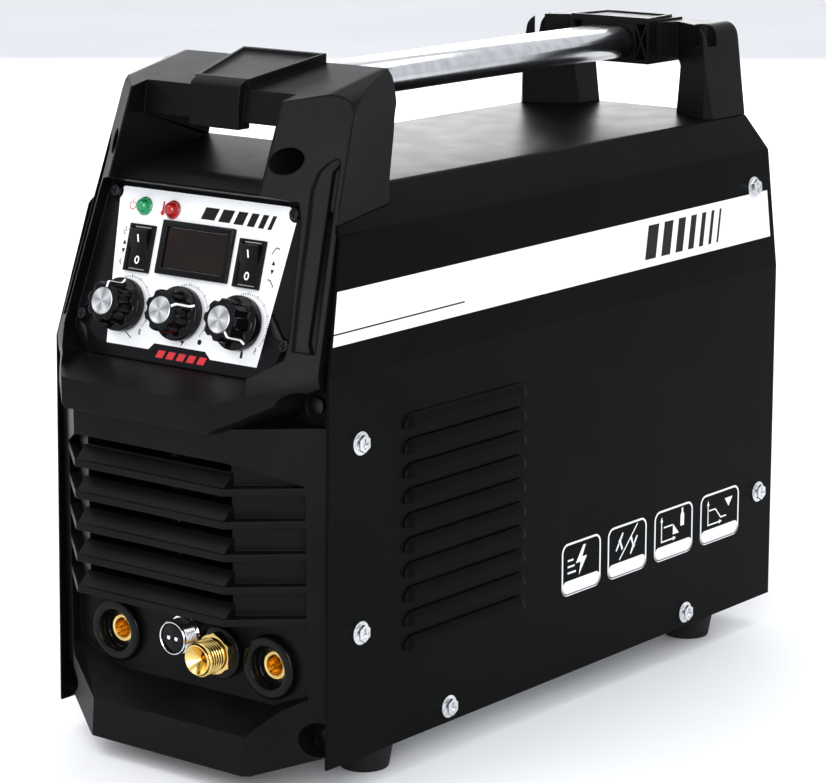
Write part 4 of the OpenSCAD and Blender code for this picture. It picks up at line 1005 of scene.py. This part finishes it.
def make_gas_outlet():
    bm = bmesh.new()
    rings = [circle(r, z) for r, z in ((2, -26), (3, -26), (3, -12.2), (5, -11.8), (5, 0), (9, 0.02),
                                       (9, 3.4), (8.6, 3.6), (7.1, 3.7))]
    rings += screw_thread(7.1, 0.9, 1.5, 4.0, 13.4)
    rings += [circle(r, z) for r, z in ((7.05, 13.7), (6.75, 14.05), (6.3, 14.05), (6.1, 13.85),
                                        (2.3, 9.4), (2, 9.0))]
    loft(bm, rings, closed=True)
    finished("gas_outlet_fitting", bm, FINISH["brass"], BODY, ("gas_outlet",), facing_front(*OUTLET))
    bm = bmesh.new()
    loft(bm, [hexagon(9.9, 0.04), hexagon(9.9, 3.1), hexagon(9.2, 3.5)])
    softened(bm, 0.25)
    finished("gas_outlet_collar", bm, FINISH["brass"], BODY, matrix=facing_front(*OUTLET))


def make_remote_socket():
    bm = bmesh.new()
    rings = [circle(r, z) for r, z in ((5.8, -8), (7, -8), (7, 0.02), (8.9, 0.05), (9, 0.2), (9, 1.6),
                                       (8.8, 1.8), (7.6, 1.85))]
    rings += screw_thread(7.55, 0.42, 0.9, 2.1, 9.0, per_turn=6)
    rings += [circle(r, z) for r, z in ((7.6, 9.25), (7.55, 9.6), (7.35, 9.8), (7.05, 9.8), (6.85, 9.6),
                                        (6.8, 3.5), (5.8, 3.45))]
    loft(bm, rings, closed=True)
    finished("remote_socket_thread", bm, FINISH["chrome"], BODY, ("remote_socket_shell",),
             facing_front(-4.5, FACE_Y, 44.5))


def make_current_sockets():
    for label, x in (("positive", 45.5), ("negative", -45.5)):
        frame_here = facing_front(x, FACE_Y, 39)
        bm = bmesh.new()
        lathe(bm, [(6.6, -22), (10.8, -22), (11, -21.8), (11, 0.05), (14.2, 0.05), (14.4, 0.25), (14.4, 2.2),
                   (14.25, 2.75), (13.9, 3.2), (13.3, 3.5), (12.6, 3.6), (10.6, 3.6), (10.1, 3.5), (9.7, 3.2),
                   (9.45, 2.7), (9.2, -2.0), (9.0, -2.2), (6.6, -2.2)], 128)
        finished(label + "_socket_ring", bm, FINISH["gloss_black"], BODY, (label + "_socket",),
                 frame_here)
        bm = bmesh.new()
        lathe(bm, [(4.6, -20), (6.5, -20), (6.5, -1.9), (6.35, -1.5), (6.0, -1.3), (5.4, -1.3), (4.85, -1.55),
                   (4.6, -2)])
        finished(label + "_contact_lip", bm, FINISH["brass"], BODY, matrix=frame_here)


def make_lamps():
    """Domed lamps, each in a low collar."""
    for label, x, finish in (("power", -33.7, "led_green"), ("fault", -17, "led_red")):
        bm = bmesh.new()
        profile = [(0.02, -4), (2.9, -4), (3.0, 0.05), (4.1, 0.1), (4.15, 0.35), (4.1, 0.8), (3.85, 1.05),
                   (3.5, 1.15)]
        dome = [math.radians(degrees) for degrees in range(0, 90, 10)]
        profile += [(3.4 * math.cos(angle), 1.3 + 3.3 * math.sin(angle)) for angle in dome]
        profile.append((0.02, 4.6))
        lathe(bm, profile, 64)
        finished(label + "_lamp", bm, FINISH[finish], BODY, (label + "_led",), on_plate(x, LAMP_S))


def make_display_glass():
    bm = bmesh.new()
    loft(bm, [[(x, y, z) for x, y in rounded_rect(-17.4 + i, 17.4 - i, -8.8 + i, 8.8 - i, 0.5, 3)]
              for z, i in ((-1, 0), (0.9, 0), (1.15, 0.25))])
    finished("display_glass", bm, FINISH["window"], BODY, ("display_window",), on_plate(0.5, 25))


# ---------------------------------------------------------------- CAD nodes that stay

# width of the bevels in millimetres
EDGE_ROUNDING = {
    "base_pan": 0.4, "rear_panel": 0.3, "rubber_feet": 0.8, "foot_screws": 0.3, "case_screws": 0.22,
    "fascia_screws": 0.3, "front_handle_bolts": 0.3, "control_plate": 0.15, "plate_screws": 0.15,
    "display_bezel": 0.45, "mode_switch_body": 0.35, "slope_switch_body": 0.35, "main_switch_body": 0.5,
    "mode_switch_rocker": 0.3, "slope_switch_rocker": 0.3, "main_switch_rocker": 0.45,
    "positive_contact": 0.3, "negative_contact": 0.3, "gas_outlet_flange": 0.5, "remote_socket_insert": 0.2,
    "remote_socket_pins": 0.3, "fan_frame": 0.6, "gas_inlet": 0.25, "cord_gland": 0.5, "earth_stud": 0.25,
    "handle_tube": 0.4, "main_board": 0.2, "heatsinks": 0.4, "power_modules": 0.3, "main_transformer": 0.8,
    "output_choke": 1.5, "filter_capacitors": 1.2, "gas_valve": 0.6, "gas_valve_plunger": 0.3,
    "output_busbars": 0.3, "potentiometers": 0.3, "control_board": 0.2,
}


def dress_cad_nodes():
    """Gives every CAD node its finish, and rounds the edges of those that stay."""
    for name, node in nodes.items():
        node.data.materials.clear()
        node.data.materials.append(FINISH[NODE_SLOT[name]])
        if name not in EDGE_ROUNDING:
            continue
        for polygon in node.data.polygons:
            polygon.use_smooth = True
        weld = node.modifiers.new("weld", "WELD")
        weld.merge_threshold = 0.004 * MM
        bevel = node.modifiers.new("edges", "BEVEL")
        bevel.limit_method = "ANGLE"
        bevel.angle_limit = math.radians(32)
        bevel.width = EDGE_ROUNDING[name] * MM
        bevel.segments = 2
        bevel.harden_normals = True


make_camera()
make_world()
make_floor()
make_lights()
dress_cad_nodes()
make_cover()
rounded_from_cad("fascia_moulding", "front_fascia", 0.9 * MM, lambda p: p.y > -0.163 and p.z < 0.25)
rounded_from_cad("bracket_moulding", "rear_bracket", 1.2 * MM)
make_stripes()
make_badges()
make_panel_print()
make_knob("downslope", -KNOB_X, 10)
make_knob("current", 0, 67)
make_knob("postflow", KNOB_X, 138)
make_rocker_marks("mode", on_plate(-SWITCH_X, SWITCH_S), 9.2, 3.6)
make_rocker_marks("slope", on_plate(SWITCH_X, SWITCH_S), 9.2, 3.6)
rear_turn = Matrix.Rotation(math.radians(180), 4, "Y") @ Matrix.Rotation(math.radians(90), 4, "X")
make_rocker_marks("main", place(36, 175.1, 190, rear_turn), 12.9, 5.5)
make_gas_outlet()
make_remote_socket()
make_current_sockets()
make_lamps()
make_display_glass()
